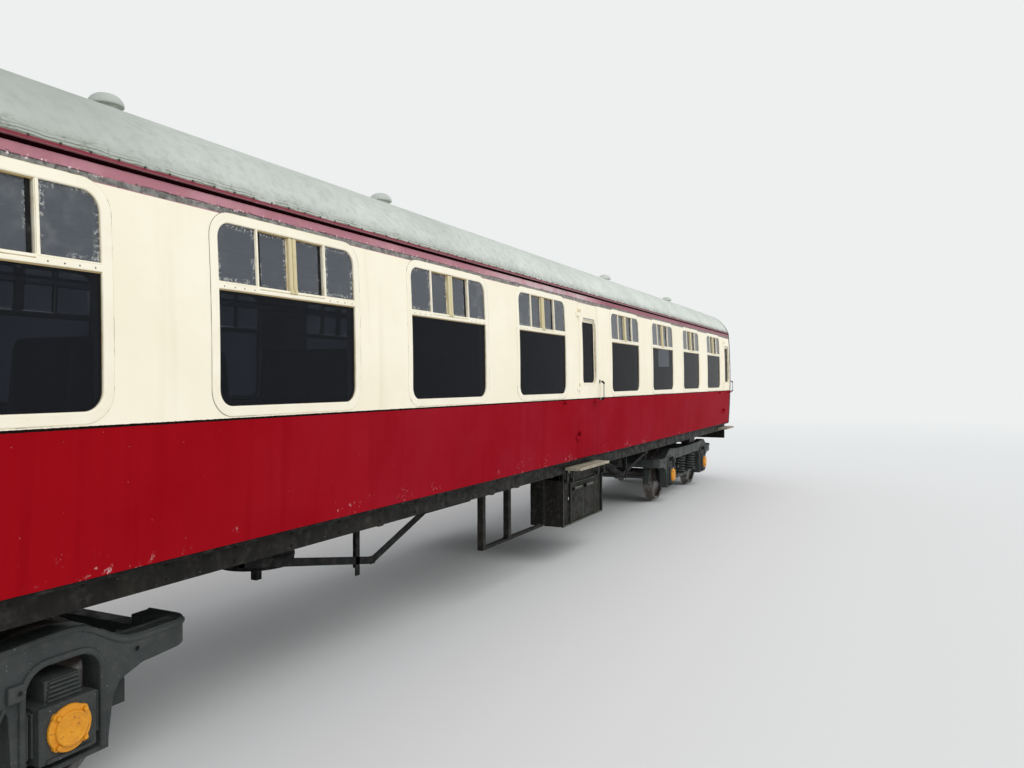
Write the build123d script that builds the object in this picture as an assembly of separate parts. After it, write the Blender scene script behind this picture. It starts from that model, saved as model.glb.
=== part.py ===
from build123d import *
import math
import os

# Open second-class passenger coach on two cast-steel bogies.
# Millimetres. Heights are from rail level, and save() lifts all by the depth of
# the wheel flanges, so the coach stands on z = 0. Origin in the middle, +Z up,
# +X towards the end without toilets, +Y towards the left side.

os.makedirs("parts", exist_ok=True)

# Body shell
body_half_length = 9830
end_wall_thickness = 85
half_width = 1372
widest_height = 2200
side_radius = 13500
side_thickness = 75
body_bottom = 1214.5
cantrail_bottom = 3066
roof_edge_height = 3190
roof_crest = 3785
roof_top_radius = 2520
roof_side_radius = 730
roof_bend_angle = 21.31
roof_thickness = 60
gutter_height = 30
gutter_depth = 17
gutter_centre = 3173
gutter_root = 2
fit_gap = 0.3

# Floor and underframe
floor_top = 1280
floor_plate_thickness = 20
floor_plate_half_width = 1325
floor_slab_half_width = 1255
solebar_outer = 1240
solebar_height = 140
solebar_flange = 90
solebar_web = 12
headstock_length = 60
headstock_height = 330
longitudinal_centre = 420
longitudinal_width = 80
longitudinal_height = 130
cross_member_width = 90
cross_member_height = 110
body_bolster_length = 420
body_bolster_bottom = 960
centre_plate_radius = 190
centre_plate_bottom = 930

# Layout along the body: each length is from an end of the body, or of a room inside it
far_vestibule_length = 787.05
near_lobby_length = 2427.05
centre_vestibule_length = 854.3
bays_per_saloon = 4
end_bay_clearance = 0.5
toilet_partition_from_end = 1550
near_door_from_end = 2000
far_door_from_end = 420
centre_door_offset = -55
bogie_from_end = 2743.5

# Windows, all on both sides
glass_width = 1222
glass_bottom = 1994
glass_top = 3022
frame_border = 56
frame_corner = 150
glass_corner = 95
frame_proud = 4
transom_bottom = 2643
transom_top = 2682
mullion_width = 24
centre_stile_width = 72
glass_thickness = 6
pane_depth = 12
frame_depth = 45
toilet_window_from_end = 1000
toilet_window_width = 560
toilet_window_bottom = 1985
toilet_window_top = 2625
toilet_window_corner = 90
toilet_window_border = 30

# Doors, hinged on the left edge as seen from outside
door_width = 660
door_gap = 5
door_bevel = 14
door_bevel_depth = 110
hinge_stand_off = 13
hinge_heights = (2958, 2088, 1515)
hinge_radius = 11
hinge_knuckle = 42
hinge_strap = 78
hinge_strap_thickness = 7
hinge_root = 6
droplight_width = 476
droplight_offset = 17
droplight_bottom = 2100
droplight_top = 2870
droplight_corner = 80
droplight_inset = 40
droplight_frame = 30
droplight_frame_depth = 22
droplight_pane_depth = 8
door_handle_from_lock = 135
door_handle_height = 1890
door_handle_length = 150
door_handle_reach = 48
door_handle_stem = 24
door_handle_root = 5
door_handle_radius = 14
grab_rail_from_door = 45
grab_rail_bottom = 1905
grab_rail_top = 2128
grab_rail_reach = 55
grab_rail_radius = 11
grab_rail_foot = 14
bump_stop_from_door = 485
bump_stop_height = 1893
bump_stop_radius = 26
bump_stop_reach = 38

# Roof ventilators
vent_places = (-5080, -2250, 3990, 7840)
vent_offset = 450
vent_top = 3860
vent_neck_radius = 78
vent_radius = 103
vent_rim_height = 14
vent_dome_height = 60
vent_cap_radius = 48

# Gangways
gangway_reach = 350
gangway_half_width = 560
gangway_above_coupler = 11
gangway_top = 3400
gangway_corner = 260
passage_half_width = 360
passage_top = 3180
passage_corner = 120
faceplate_thickness = 32
bellows_folds = 3
bellows_set_back = 15
bellows_fold_depth = 55

# Buffers and coupler
buffer_spacing = 1727
buffer_height = 1054
buffer_reach = 300
buffer_head_width = 600
buffer_head_height = 340
buffer_head_thickness = 30
buffer_housing_radius = 120
buffer_ram_radius = 78
buffer_housing_length = 170
buffer_flange = 320
buffer_flange_thickness = 25
coupler_shank = 140
coupler_head_length = 210
coupler_head_half_height = 125
coupler_knuckle_half_height = 110
coupler_reach = 345
# Plan of the coupler head, as distance from its root along the coach and offset across it
coupler_head_plan = ((0, -80), (60, -150), (190, -190), (210, -170), (120, -70), (115, 20), (190, 95),
                     (150, 150), (40, 130), (0, 80))
coupler_knuckle_plan = ((118, 25), (180, 20), (205, 50), (190, 96), (140, 110))
pipe_offset = 330
pipe_radii = {"brake": 30, "heating": 38}
pipe_above_headstock = 80
pipe_length = 110

# Under the floor
battery_start = 330
battery_length = 1370
battery_front = 1200
battery_depth = 420
battery_bottom = 420
battery_top = 965
battery_door_thickness = 14
battery_door_margin = 270
battery_door_width = 385
battery_door_gap = 10
battery_door_low_gap = 35
battery_door_high_gap = 70
battery_handle_half_length = 150
battery_handle_reach = 22
battery_handle_low = 145
battery_handle_high = 120
hanger_width = 50
hanger_thickness = 10
cross_members_per_bay = 1.5
brake_cylinder_y = 480
brake_cylinder_radius = 270
brake_cylinder_bottom = 640
brake_cylinder_height = 380
brake_cylinder_dome = 60
brake_cylinder_bar_gap = 40
brake_cylinder_bar_width = 70
brake_cylinder_bar_thickness = 24
brake_cylinder_rod_width = 56
brake_cylinder_rod_length = 120
brake_cylinder_lug_low = 150
brake_cylinder_lug_high = 90
truss_y = 1000
truss_bar = 60
truss_chord_height = 700
truss_from_bogie = 2486.5
truss_chord_length = 1450
truss_brace_run = 920
truss_thickness = 10
truss_post_drop = 60
hung_frame_y = 1100
hung_frame_bottom = 500
hung_frame_posts = (-1545, -980)
hung_frame_post = 60
hung_frame_rod_x = -50
hung_frame_rod_radius = 9
hung_frame_bar = 12
hung_frame_bar_height = 24
hung_frame_rod_foot = 3
hung_frame_rod_lug = 20
footstep_half_length = 510
footstep_top = 1132
footstep_thickness = 32
footstep_outer = 1450
footstep_inner = 1255
end_footstep_half_length = 380
centre_footstep_offset = -5
footstep_bracket_places = (-0.7, 0, 0.7)
footstep_bracket_width = 40
footstep_bracket_thickness = 12
footstep_bracket_set_back = 30

# Inside
partition_thickness = 40
partition_doorway_half_width = 310
toilet_wall_y = 400
seat_inner_y = 255
seat_outer_y = 1245
seat_back_depth = 168
seat_cushion_depth = 450
seat_back_to_back_gap = 2
seat_plinth_set_back = 60
seat_nose = 40
seat_cushion_slope = 25
seat_back_rake = 60
seat_back_nose = 30
seat_shell_below_pad = 20
seat_cushion_bottom = 1560
seat_cushion_top = 1715
seat_back_top = 2400
seat_back_shell = 30
table_half_length = 230
table_inner_y = 400
table_top = 1990
table_thickness = 28
table_leg = 50
table_leg_from_end = 120
rack_below_roof_edge = 310
rack_depth = 380
rack_thickness = 30

# Bogies
wheelbase = 2591
wheel_radius = 457
flange_radius = 487
flange_back = 680
tyre_width = 135
flange_width = 32
tread_taper = 7
rim_thickness = 62
rim_recess = 58
web_dish = 34
hub_radius = 145
hub_outer_y = 828
hub_inner_y = 640
axle_radius = 88
journal_radius = 66
axle_half_length = 1085
journal_clearance = 0.7
frame_outer_y = 1060
frame_inner_y = 930
frame_end = 2085
frame_end_inner = 1965
frame_corner_radius = 120
frame_inner_corner_radius = 40
jaw_half_width = 192
jaw_top = 777
jaw_corner = 110
jaw_bottom = 250
tie_bar_height = 28
frame_deck_bottom = 715
leg_foot_x = 1045
leg_knee_x = 1025
leg_knee_height = 600
deck_end_x = 935
transom_socket = 20
arm_hollow_start = 1640
arm_hollow_end = 2030
arm_hollow_floor = 690
arm_hollow_corner = 45
arm_wall_thickness = 16
end_bar_low_half = 700
end_bar_low_top = 715
axlebox_half_width = 150
axlebox_guide_half_width = 189
axlebox_inner_y = 862
axlebox_outer_y = 1098
axlebox_bottom = 318
axlebox_top = 590
axlebox_crown_top = 700
axlebox_crown_half_width = 95
axlebox_crown_set_back = 40
axlebox_guide_inset = 25
axlebox_guide_low = 40
axlebox_guide_high = 20
cover_radius = 122
cover_rim_thickness = 16
cover_disc_radius = 90
cover_ear_circle = 107
cover_ear_radius = 20
cover_ear_proud = 4
cover_face = 1136
beam_inner_y = 846
beam_outer_y = 900
beam_low_bottom = 270
beam_low_top = 395
beam_flat_half_length = 560
beam_rise_from_axle = 210
beam_end_beyond_axle = 80
beam_low_bend = 150
beam_foot = 60
spring_offset = 400
spring_y = 985
spring_radius = 112
spring_bottom = 410
spring_seat_thickness = 15
spring_seat_margin = 6
spring_bracket_half_width = 80
spring_bracket_drop = 40
transom_offset = 258
transom_width = 50
transom_low = 560
transom_high = 860
bolster_half_width = 900
bolster_flat_half_width = 500
bolster_rise = 90
bolster_bottom = 700
bolster_top = 900
side_bearer_y = 760
side_bearer_size = 140
brake_block_gap = 8
brake_block_thickness = 45
brake_block_height = 240
brake_block_width = 90
brake_hanger_width = 36
brake_beam_radius = 32
deck_bracket_height = 830
arm_bracket_height = 730
brake_bracket_thickness = 30
brake_block_reach = 0.6


def box(x0, x1, y0, y1, z0, z1):
    """A rectangular solid between two corners."""
    corner = (min(x0, x1), min(y0, y1), min(z0, z1))
    size = (abs(x1 - x0), abs(y1 - y0), abs(z1 - z0))
    return Pos(*corner) * Box(*size, align=(Align.MIN, Align.MIN, Align.MIN))


def along_x(face, x0, x1):
    """Extrude a face drawn as (y, z) from x0 to x1."""
    return extrude(Plane.YZ.offset(x0) * face, x1 - x0, dir=(1, 0, 0))


def along_y(face, y0, y1):
    """Extrude a face drawn as (x, z) from y0 to y1."""
    return extrude(Plane.XZ.offset(-y0) * face, y1 - y0, dir=(0, 1, 0))


def along_z(face, z0, z1):
    """Extrude a face drawn as (x, y) from z0 to z1."""
    return extrude(Plane.XY.offset(z0) * face, z1 - z0, dir=(0, 0, 1))


def rod(start, end, radius):
    """A round bar between two points."""
    axis = Vector(*end) - Vector(*start)
    plane = Plane(origin=start, z_dir=axis)
    return extrude(plane * Circle(radius), axis.length)


def polygon(points):
    return Face(Wire.make_polygon([Vector(u, v, 0) for u, v in points], close=True))


def outline(edges):
    return Face(Wire(edges))


def left_and_right(shape):
    return [shape, mirror(shape, about=Plane.XZ)]


def both_ends(shape):
    return [shape, mirror(shape, about=Plane.YZ)]


def turned(shape):
    """The same piece at the other end and on the other side."""
    return Rot(0, 0, 180) * shape


def solids_of(shapes):
    found = []
    for shape in shapes:
        found.extend(shape.solids())
    return found


def round_topped(half, low, high, radius):
    """A doorway shape (y, z): square corners at the bottom and two round ones at the top."""
    shoulder = high - radius
    flat = half - radius
    diagonal = radius * math.sqrt(0.5)
    right = ThreePointArc((half, shoulder), (flat + diagonal, shoulder + diagonal), (flat, high))
    left = ThreePointArc((-flat, high), (-flat - diagonal, shoulder + diagonal), (-half, shoulder))
    return outline([Line((half, low), (half, shoulder)), right, Line((flat, high), (-flat, high)),
                    left, Line((-half, shoulder), (-half, low)), Line((-half, low), (half, low))])


flange_depth = flange_radius - wheel_radius


def save(name, shapes):
    export_step(Pos(0, 0, flange_depth) * Compound(solids_of(shapes)), f"parts/{name}.step")


# Cross-section of the body

def side_y(z, inset=0):
    """Distance of the curved side from the middle at one height."""
    radius = side_radius - inset
    return half_width - side_radius + math.sqrt(radius ** 2 - (z - widest_height) ** 2)


def side_band(z0, z1, outer_inset, inner_inset):
    """Face (y, z) of the left side between two heights and two depths."""
    middle = (z0 + z1) / 2
    outer = [(side_y(z, outer_inset), z) for z in (z0, middle, z1)]
    inner = [(side_y(z, inner_inset), z) for z in (z1, middle, z0)]
    edges = [ThreePointArc(*outer), Line(outer[2], inner[0]), ThreePointArc(*inner), Line(inner[2], outer[0])]
    return outline(edges)


roof_top_centre = roof_crest - roof_top_radius
bend = math.radians(roof_bend_angle)
roof_side_centre_y = (roof_top_radius - roof_side_radius) * math.sin(bend)
roof_side_centre_z = roof_top_centre + (roof_top_radius - roof_side_radius) * math.cos(bend)


def roof_arcs(inset):
    """The three arcs of the roof from the right edge to the left edge, one depth below the skin."""
    top = roof_top_radius - inset
    side = roof_side_radius - inset
    edge = math.acos((roof_edge_height - roof_side_centre_z) / side)
    middle = (edge + bend) / 2
    eaves = []
    for angle in (edge, middle, bend):
        y = roof_side_centre_y + side * math.sin(angle)
        eaves.append((y, roof_side_centre_z + side * math.cos(angle)))
    right = [(-y, z) for y, z in eaves]
    left = list(reversed(eaves))
    crest = (0, roof_top_centre + top)
    return [ThreePointArc(*right), ThreePointArc(right[2], crest, left[0]), ThreePointArc(*left)]


def body_outline(bottom, side_inset, roof_inset):
    """Closed cross-section (y, z) of the body, one depth inside its skin."""
    arcs = roof_arcs(roof_inset)
    roof_edge = arcs[2] @ 1
    middle = (bottom + roof_edge_height) / 2
    wall = [(side_y(z, side_inset), z) for z in (roof_edge_height, middle, bottom)]
    mirrored = [(-y, z) for y, z in reversed(wall)]
    edges = arcs + [Line((roof_edge.X, roof_edge.Y), wall[0]), ThreePointArc(*wall)]
    edges += [Line(wall[2], mirrored[0]), ThreePointArc(*mirrored)]
    edges += [Line(mirrored[2], (-roof_edge.X, roof_edge.Y))]
    return outline(edges)


def flat_band(z0, z1, outer_inset, inner_inset):
    """The same between two heights for a flat pane, with straight faces."""
    return polygon([(side_y(z0, outer_inset), z0), (side_y(z1, outer_inset), z1),
                    (side_y(z1, inner_inset), z1), (side_y(z0, inner_inset), z0)])


shell_half_length = body_half_length - end_wall_thickness
bogie_centre = body_half_length - bogie_from_end

# Saloon walls and bays
far_wall = body_half_length - far_vestibule_length
near_wall = near_lobby_length - body_half_length
saloon_length = (far_wall - near_wall - centre_vestibule_length) / 2
centre_far_wall = far_wall - saloon_length
centre_near_wall = near_wall + saloon_length
toilet_wall = toilet_partition_from_end - body_half_length
partition_places = (toilet_wall, near_wall, centre_near_wall, centre_far_wall, far_wall)
bay_margin = partition_thickness / 2 + end_bay_clearance
bay_pitch = (saloon_length - 2 * bay_margin) / bays_per_saloon
window_centres = []
for i in range(bays_per_saloon):
    window_centres.append(centre_far_wall + bay_margin + (i + 0.5) * bay_pitch)
    window_centres.append(centre_near_wall - bay_margin - (i + 0.5) * bay_pitch)
door_centres = {
    "near": near_door_from_end - body_half_length,
    "centre": (centre_near_wall + centre_far_wall) / 2 + centre_door_offset,
    "far": body_half_length - far_door_from_end,
}
toilet_window_x = toilet_window_from_end - body_half_length
glass_middle = (glass_bottom + glass_top) / 2
glass_height = glass_top - glass_bottom


# Body sides, split where the doors stand

def make_body_side():
    band = side_band(body_bottom, cantrail_bottom, 0, side_thickness)
    wall = along_x(band, -shell_half_length, shell_half_length)
    reach = half_width + side_thickness
    cut_width = glass_width + 2 * frame_proud
    cut_height = glass_height + 2 * frame_proud
    cutters = []
    for x in window_centres:
        cutters.append(along_y(Pos(x, glass_middle) * Rectangle(cut_width, cut_height), 0, reach))
    toilet_face = Pos(toilet_window_x, (toilet_window_bottom + toilet_window_top) / 2) * RectangleRounded(
        toilet_window_width, toilet_window_top - toilet_window_bottom, toilet_window_corner)
    cutters.append(along_y(toilet_face, 0, reach))
    half_door = door_width / 2
    for x in door_centres.values():
        cutters.append(box(x - half_door, x + half_door, 0, reach, body_bottom, cantrail_bottom))
    return wall - cutters


def make_cantrail():
    inner = side_thickness
    points = [(side_y(cantrail_bottom), cantrail_bottom), (side_y(roof_edge_height), roof_edge_height)]
    points += [(side_y(z, inner), z) for z in (roof_edge_height, cantrail_bottom)]
    rail = along_x(polygon(points), -shell_half_length, shell_half_length)
    gutter_y = side_y(gutter_centre) - gutter_root
    low = gutter_centre - gutter_height / 2
    high = gutter_centre + gutter_height / 2
    bulge = (gutter_y + gutter_depth, gutter_centre)
    flat = Line((gutter_y, high), (gutter_y, low))
    roll = outline([flat, ThreePointArc((gutter_y, low), bulge, (gutter_y, high))])
    return rail + along_x(roll, -shell_half_length, shell_half_length)


def make_roof():
    outer = roof_arcs(0)
    inner = roof_arcs(roof_thickness)
    left = Line(outer[2] @ 1, inner[2] @ 1)
    right = Line(inner[0] @ 0, outer[0] @ 0)
    return along_x(outline(outer + [left] + inner + [right]), -shell_half_length, shell_half_length)


def passage_face():
    """The arched doorway of the gangway, as (y, z)."""
    return round_topped(passage_half_width, floor_top, passage_top, passage_corner)


def make_end_wall():
    wall = along_x(body_outline(body_bottom, 0, 0), shell_half_length, body_half_length)
    return wall - along_x(passage_face(), shell_half_length - 1, body_half_length + 1)


# Windows

def make_window_frame(x):
    """One frame of a bay: flange on the skin, transom, mullions and the centre stiles."""
    border = frame_border
    outer_size = (glass_width + 2 * border, glass_height + 2 * border)
    outer = Pos(x, glass_middle) * RectangleRounded(*outer_size, frame_corner)
    opening = Pos(x, glass_middle) * RectangleRounded(glass_width, glass_height, glass_corner)
    bottom = glass_bottom - border - 1
    top = glass_top + border + 1
    flange_band = along_x(side_band(bottom, top, -frame_proud, 0), x - glass_width, x + glass_width)
    flange = flange_band & along_y(outer - opening, 0, half_width + side_thickness)
    bar_top = glass_top + frame_proud
    bar_width = glass_width + 2 * frame_proud
    bar_band = along_x(flat_band(transom_bottom, bar_top, 0, frame_depth), x - glass_width, x + glass_width)
    grid = Pos(x, (transom_bottom + transom_top) / 2) * Rectangle(bar_width, transom_top - transom_bottom)
    light_height = bar_top - transom_bottom
    light_middle = (bar_top + transom_bottom) / 2
    for place, width in ((-0.25, mullion_width), (0, centre_stile_width), (0.25, mullion_width)):
        grid = grid + Pos(x + place * glass_width, light_middle) * Rectangle(width, light_height)
    return [flange, bar_band & along_y(grid, 0, half_width + side_thickness)]


def make_window_glass(x):
    """The lower pane and the four top-light panes of one bay."""
    half = glass_width / 2 + frame_proud - fit_gap
    low = glass_bottom - frame_proud + fit_gap
    top = glass_top + frame_proud - fit_gap
    deep = pane_depth + glass_thickness
    panes = [along_x(flat_band(low, transom_bottom - fit_gap, pane_depth, deep), x - half, x + half)]
    quarter = glass_width / 4
    inner = mullion_width / 2 + fit_gap
    centre = centre_stile_width / 2 + fit_gap
    lights = ((-half, -quarter - inner), (-quarter + inner, -centre),
              (centre, quarter - inner), (quarter + inner, half))
    for left, right in lights:
        panes.append(along_x(flat_band(transom_top + fit_gap, top, pane_depth, deep), x + left, x + right))
    return panes


def make_toilet_window():
    middle = (toilet_window_bottom + toilet_window_top) / 2
    height = toilet_window_top - toilet_window_bottom
    face = Pos(toilet_window_x, middle) * RectangleRounded(
        toilet_window_width - 2 * fit_gap, height - 2 * fit_gap, toilet_window_corner)
    border = toilet_window_border
    inner = Pos(toilet_window_x, middle) * RectangleRounded(
        toilet_window_width - 2 * border, height - 2 * border, toilet_window_corner - border)
    span = (toilet_window_x - toilet_window_width, toilet_window_x + toilet_window_width)
    low = toilet_window_bottom - 1
    high = toilet_window_top + 1
    ring_band = along_x(side_band(low, high, 2, frame_depth), *span)
    pane_band = along_x(side_band(low, high, pane_depth, pane_depth + glass_thickness), *span)
    ring = ring_band & along_y(face - inner, 0, half_width)
    pane_size = (toilet_window_width - 2 * border - 2 * fit_gap, height - 2 * border - 2 * fit_gap)
    pane_face = Pos(toilet_window_x, middle) * RectangleRounded(*pane_size, toilet_window_corner - border)
    return ring, pane_band & along_y(pane_face, 0, half_width)


# Doors: drawn on the right side with the hinge axis at x = 0, leaf towards +X

hinge_y = half_width + hinge_stand_off


def hinge_half(z0, z1, direction):
    """Knuckle and strap of one hinge half; direction is 1 on the leaf and -1 on the pillar."""
    skin = -max(side_y(z0), side_y(z1))
    root = skin + hinge_root if direction > 0 else skin - fit_gap
    tip = direction * hinge_strap
    back = -hinge_y + hinge_radius
    barrel = ThreePointArc((0, back), (-direction * hinge_radius, -hinge_y), (0, -hinge_y - hinge_radius))
    strap = [(0, -hinge_y - hinge_radius), (tip, skin - hinge_strap_thickness), (tip, root),
             (direction * (door_gap / 2 + 1), root), (0, back)]
    edges = [barrel] + [Line(strap[i], strap[i + 1]) for i in range(len(strap) - 1)]
    return along_z(outline(edges), z0, z1)


droplight_middle = (droplight_bottom + droplight_top) / 2
droplight_height = droplight_top - droplight_bottom
droplight_x = door_width / 2 - door_gap / 2 + droplight_offset


def make_door_leaf():
    gap = door_gap
    start = gap / 2
    end = door_width - 1.5 * gap
    leaf = along_x(side_band(body_bottom + gap + 1, cantrail_bottom - gap, 0, side_thickness), start, end)
    leaf = mirror(leaf, about=Plane.XZ)
    skin = -side_y(widest_height)
    deep = skin + door_bevel_depth
    bevel = polygon([(end, skin), (end + 1, skin), (end + 1, deep), (end - door_bevel, deep)])
    leaf = leaf - along_z(bevel, body_bottom, cantrail_bottom)
    droplight_face = RectangleRounded(droplight_width, droplight_height, droplight_corner)
    opening = Pos(droplight_x, droplight_middle) * droplight_face
    leaf = leaf - along_y(opening, -half_width - side_thickness, 0)
    for z in hinge_heights:
        leaf = leaf + hinge_half(z - hinge_knuckle / 2, z + hinge_knuckle / 2, 1)
    handle_x = door_width - door_handle_from_lock
    handle_skin = -side_y(door_handle_height)
    bar_y = handle_skin - door_handle_reach
    half_stem = door_handle_stem / 2
    stem = box(handle_x - half_stem, handle_x + half_stem, handle_skin + door_handle_root, bar_y,
               door_handle_height - half_stem, door_handle_height + half_stem)
    half_grip = door_handle_length / 2
    grip_start = (handle_x - half_grip, bar_y, door_handle_height)
    grip_end = (handle_x + half_grip, bar_y, door_handle_height)
    grip = rod(grip_start, grip_end, door_handle_radius)
    return leaf + stem + grip


def make_droplight():
    """The flat sliding window frame and its pane, seated in the opening of the leaf."""
    gap = fit_gap
    size = (droplight_width - 2 * gap, droplight_height - 2 * gap)
    outer = Pos(droplight_x, droplight_middle) * RectangleRounded(*size, droplight_corner)
    inner_size = (droplight_width - 2 * droplight_frame, droplight_height - 2 * droplight_frame)
    inner_corner = droplight_corner - droplight_frame
    inner = Pos(droplight_x, droplight_middle) * RectangleRounded(*inner_size, inner_corner)
    pane_size = (inner_size[0] - 2 * gap, inner_size[1] - 2 * gap)
    pane = Pos(droplight_x, droplight_middle) * RectangleRounded(*pane_size, inner_corner)
    droplight_back = droplight_inset + droplight_frame_depth
    band = flat_band(droplight_bottom, droplight_top, droplight_inset, droplight_back)
    ring = mirror(along_x(band, 0, door_width), about=Plane.XZ) & along_y(outer - inner, -half_width, 0)
    pane_inset = droplight_inset + droplight_pane_depth
    pane_band = flat_band(droplight_bottom, droplight_top, pane_inset, pane_inset + glass_thickness)
    glass = mirror(along_x(pane_band, 0, door_width), about=Plane.XZ) & along_y(pane, -half_width, 0)
    return ring, glass


def make_door_fittings(with_stop):
    """What the coach carries beside one door: pillar hinge halves, grab rail and bump stop."""
    pieces = []
    for z in hinge_heights:
        high = z - hinge_knuckle / 2 - fit_gap
        pieces.append(hinge_half(high - hinge_knuckle, high, -1))
    rail_x = door_width + grab_rail_from_door
    rail_y = -half_width - grab_rail_reach
    rail = rod((rail_x, rail_y, grab_rail_bottom), (rail_x, rail_y, grab_rail_top), grab_rail_radius)
    half_foot = grab_rail_foot / 2
    for z in (grab_rail_bottom + grab_rail_foot, grab_rail_top - grab_rail_foot):
        rail = rail + box(rail_x - half_foot, rail_x + half_foot, rail_y, -side_y(z) - 1.5 * fit_gap,
                          z - half_foot, z + half_foot)
    pieces.append(rail)
    if with_stop:
        stop_skin = -side_y(bump_stop_height + bump_stop_radius) - fit_gap
        stop_start = (-bump_stop_from_door, stop_skin, bump_stop_height)
        stop_end = (-bump_stop_from_door, stop_skin - bump_stop_reach, bump_stop_height)
        pieces.append(rod(stop_start, stop_end, bump_stop_radius))
    return pieces


def place_door(shape, side, x):
    """Move a piece drawn at the hinge axis to the door at x on the right or the left side."""
    if side == "right":
        return Pos(x - door_width / 2 + door_gap / 2, 0, 0) * shape
    return Pos(x + door_width / 2 - door_gap / 2, 0, 0) * turned(shape)


# Floor, underframe and what hangs from it

def make_floor():
    plate_low = body_bottom - floor_plate_thickness
    plate_half = floor_plate_half_width
    plate = box(-body_half_length, body_half_length, -plate_half, plate_half, plate_low, body_bottom)
    slab_end = shell_half_length - fit_gap
    slab = box(-slab_end, slab_end, -floor_slab_half_width, floor_slab_half_width, body_bottom, floor_top)
    return plate + slab


plate_bottom = body_bottom - floor_plate_thickness
solebar_bottom = plate_bottom - solebar_height


cross_members_each_way = 3
cross_member_pitch = bay_pitch / cross_members_per_bay
cross_member_steps = range(-cross_members_each_way, cross_members_each_way + 1)
cross_member_places = [i * cross_member_pitch for i in cross_member_steps]
cross_member_bottom = plate_bottom - cross_member_height


def make_underframe():
    """Channel solebars, headstocks, longitudinals, cross members and body bolsters, each its own bar."""
    inner = solebar_outer - solebar_flange
    web = solebar_outer - solebar_web
    reach = body_half_length - headstock_length
    channel = polygon([(solebar_outer, solebar_bottom), (solebar_outer, plate_bottom), (inner, plate_bottom),
                       (inner, plate_bottom - solebar_web), (web, plate_bottom - solebar_web),
                       (web, solebar_bottom + solebar_web), (inner, solebar_bottom + solebar_web),
                       (inner, solebar_bottom)])
    members = left_and_right(along_x(channel, -reach, reach))
    headstock_bottom = plate_bottom - headstock_height
    headstock = box(reach, body_half_length, -solebar_outer, solebar_outer, headstock_bottom, plate_bottom)
    members += both_ends(headstock)
    rail_in = longitudinal_centre - longitudinal_width / 2
    rail_out = longitudinal_centre + longitudinal_width / 2
    rail_bottom = plate_bottom - longitudinal_height
    bolster_near = bogie_centre - body_bolster_length / 2
    bolster_far = bogie_centre + body_bolster_length / 2
    for x0, x1 in ((-reach, -bolster_far), (-bolster_near, bolster_near), (bolster_far, reach)):
        members += left_and_right(box(x0, x1, rail_in, rail_out, rail_bottom, plate_bottom))
    for x in cross_member_places:
        x0 = x - cross_member_width / 2
        x1 = x + cross_member_width / 2
        members.append(box(x0, x1, -rail_in, rail_in, cross_member_bottom, plate_bottom))
        members += left_and_right(box(x0, x1, rail_out, inner, cross_member_bottom, plate_bottom))
    beam = box(bolster_near, bolster_far, -inner, inner, body_bolster_bottom, plate_bottom)
    plate = along_z(Circle(centre_plate_radius), centre_plate_bottom, body_bolster_bottom)
    plate = Pos(bogie_centre, 0, 0) * plate
    members += both_ends(beam) + both_ends(plate)
    return members


def make_battery_box():
    """One battery box with its two doors, handles and the hangers that carry it."""
    x0 = battery_start
    x1 = battery_start + battery_length
    back = battery_front - battery_depth
    plate_back = battery_front - battery_door_thickness
    body = box(x0, x1, back, plate_back, battery_bottom, battery_top)
    body = body + box(x0, x1, plate_back, battery_front, battery_top - battery_door_high_gap / 2, solebar_bottom)
    half = battery_length / 2
    for i in range(2):
        left = x0 + battery_door_margin + i * (battery_door_width + battery_door_gap)
        right = left + battery_door_width
        door = box(left, right, plate_back, battery_front,
                   battery_bottom + battery_door_low_gap, battery_top - battery_door_high_gap)
        handle_x = (left + right) / 2
        grip = battery_handle_half_length
        handle = box(handle_x - grip, handle_x + grip, battery_front, battery_front + battery_handle_reach,
                     battery_top - battery_handle_low, battery_top - battery_handle_high)
        body = body + door + handle
    for x in (x0, x0 + half - hanger_width / 2, x1 - hanger_width):
        for y in (back, battery_front - hanger_width):
            body = body + box(x, x + hanger_width, y, y + hanger_thickness, battery_top, solebar_bottom)
    return body


def make_brake_cylinder(x, y):
    """A vacuum brake cylinder with its piston rod, between the two bars that carry it."""
    low = brake_cylinder_bottom
    top = low + brake_cylinder_height
    shoulder = top - brake_cylinder_dome
    points = [(0, low), (brake_cylinder_radius, low), (brake_cylinder_radius, shoulder),
              (brake_cylinder_radius - brake_cylinder_dome, top), (0, top)]
    body = revolve(Plane.XZ * polygon(points), Axis.Z)
    half_rod = brake_cylinder_rod_width / 2
    body = body + box(-half_rod, half_rod, -half_rod, half_rod, low - brake_cylinder_rod_length, low)
    half_bar = brake_cylinder_bar_width / 2
    bar_y = brake_cylinder_radius + brake_cylinder_bar_gap
    half_thick = brake_cylinder_bar_thickness / 2
    for side in (-1, 1):
        y0 = side * bar_y
        body = body + box(-half_bar, half_bar, y0 - half_thick, y0 + half_thick,
                          top - brake_cylinder_lug_low, cross_member_bottom)
        body = body + box(-half_rod, half_rod, side * (brake_cylinder_radius - half_thick), y0,
                          top - brake_cylinder_lug_low, top - brake_cylinder_lug_high)
    return Pos(x, y, 0) * body


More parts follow.
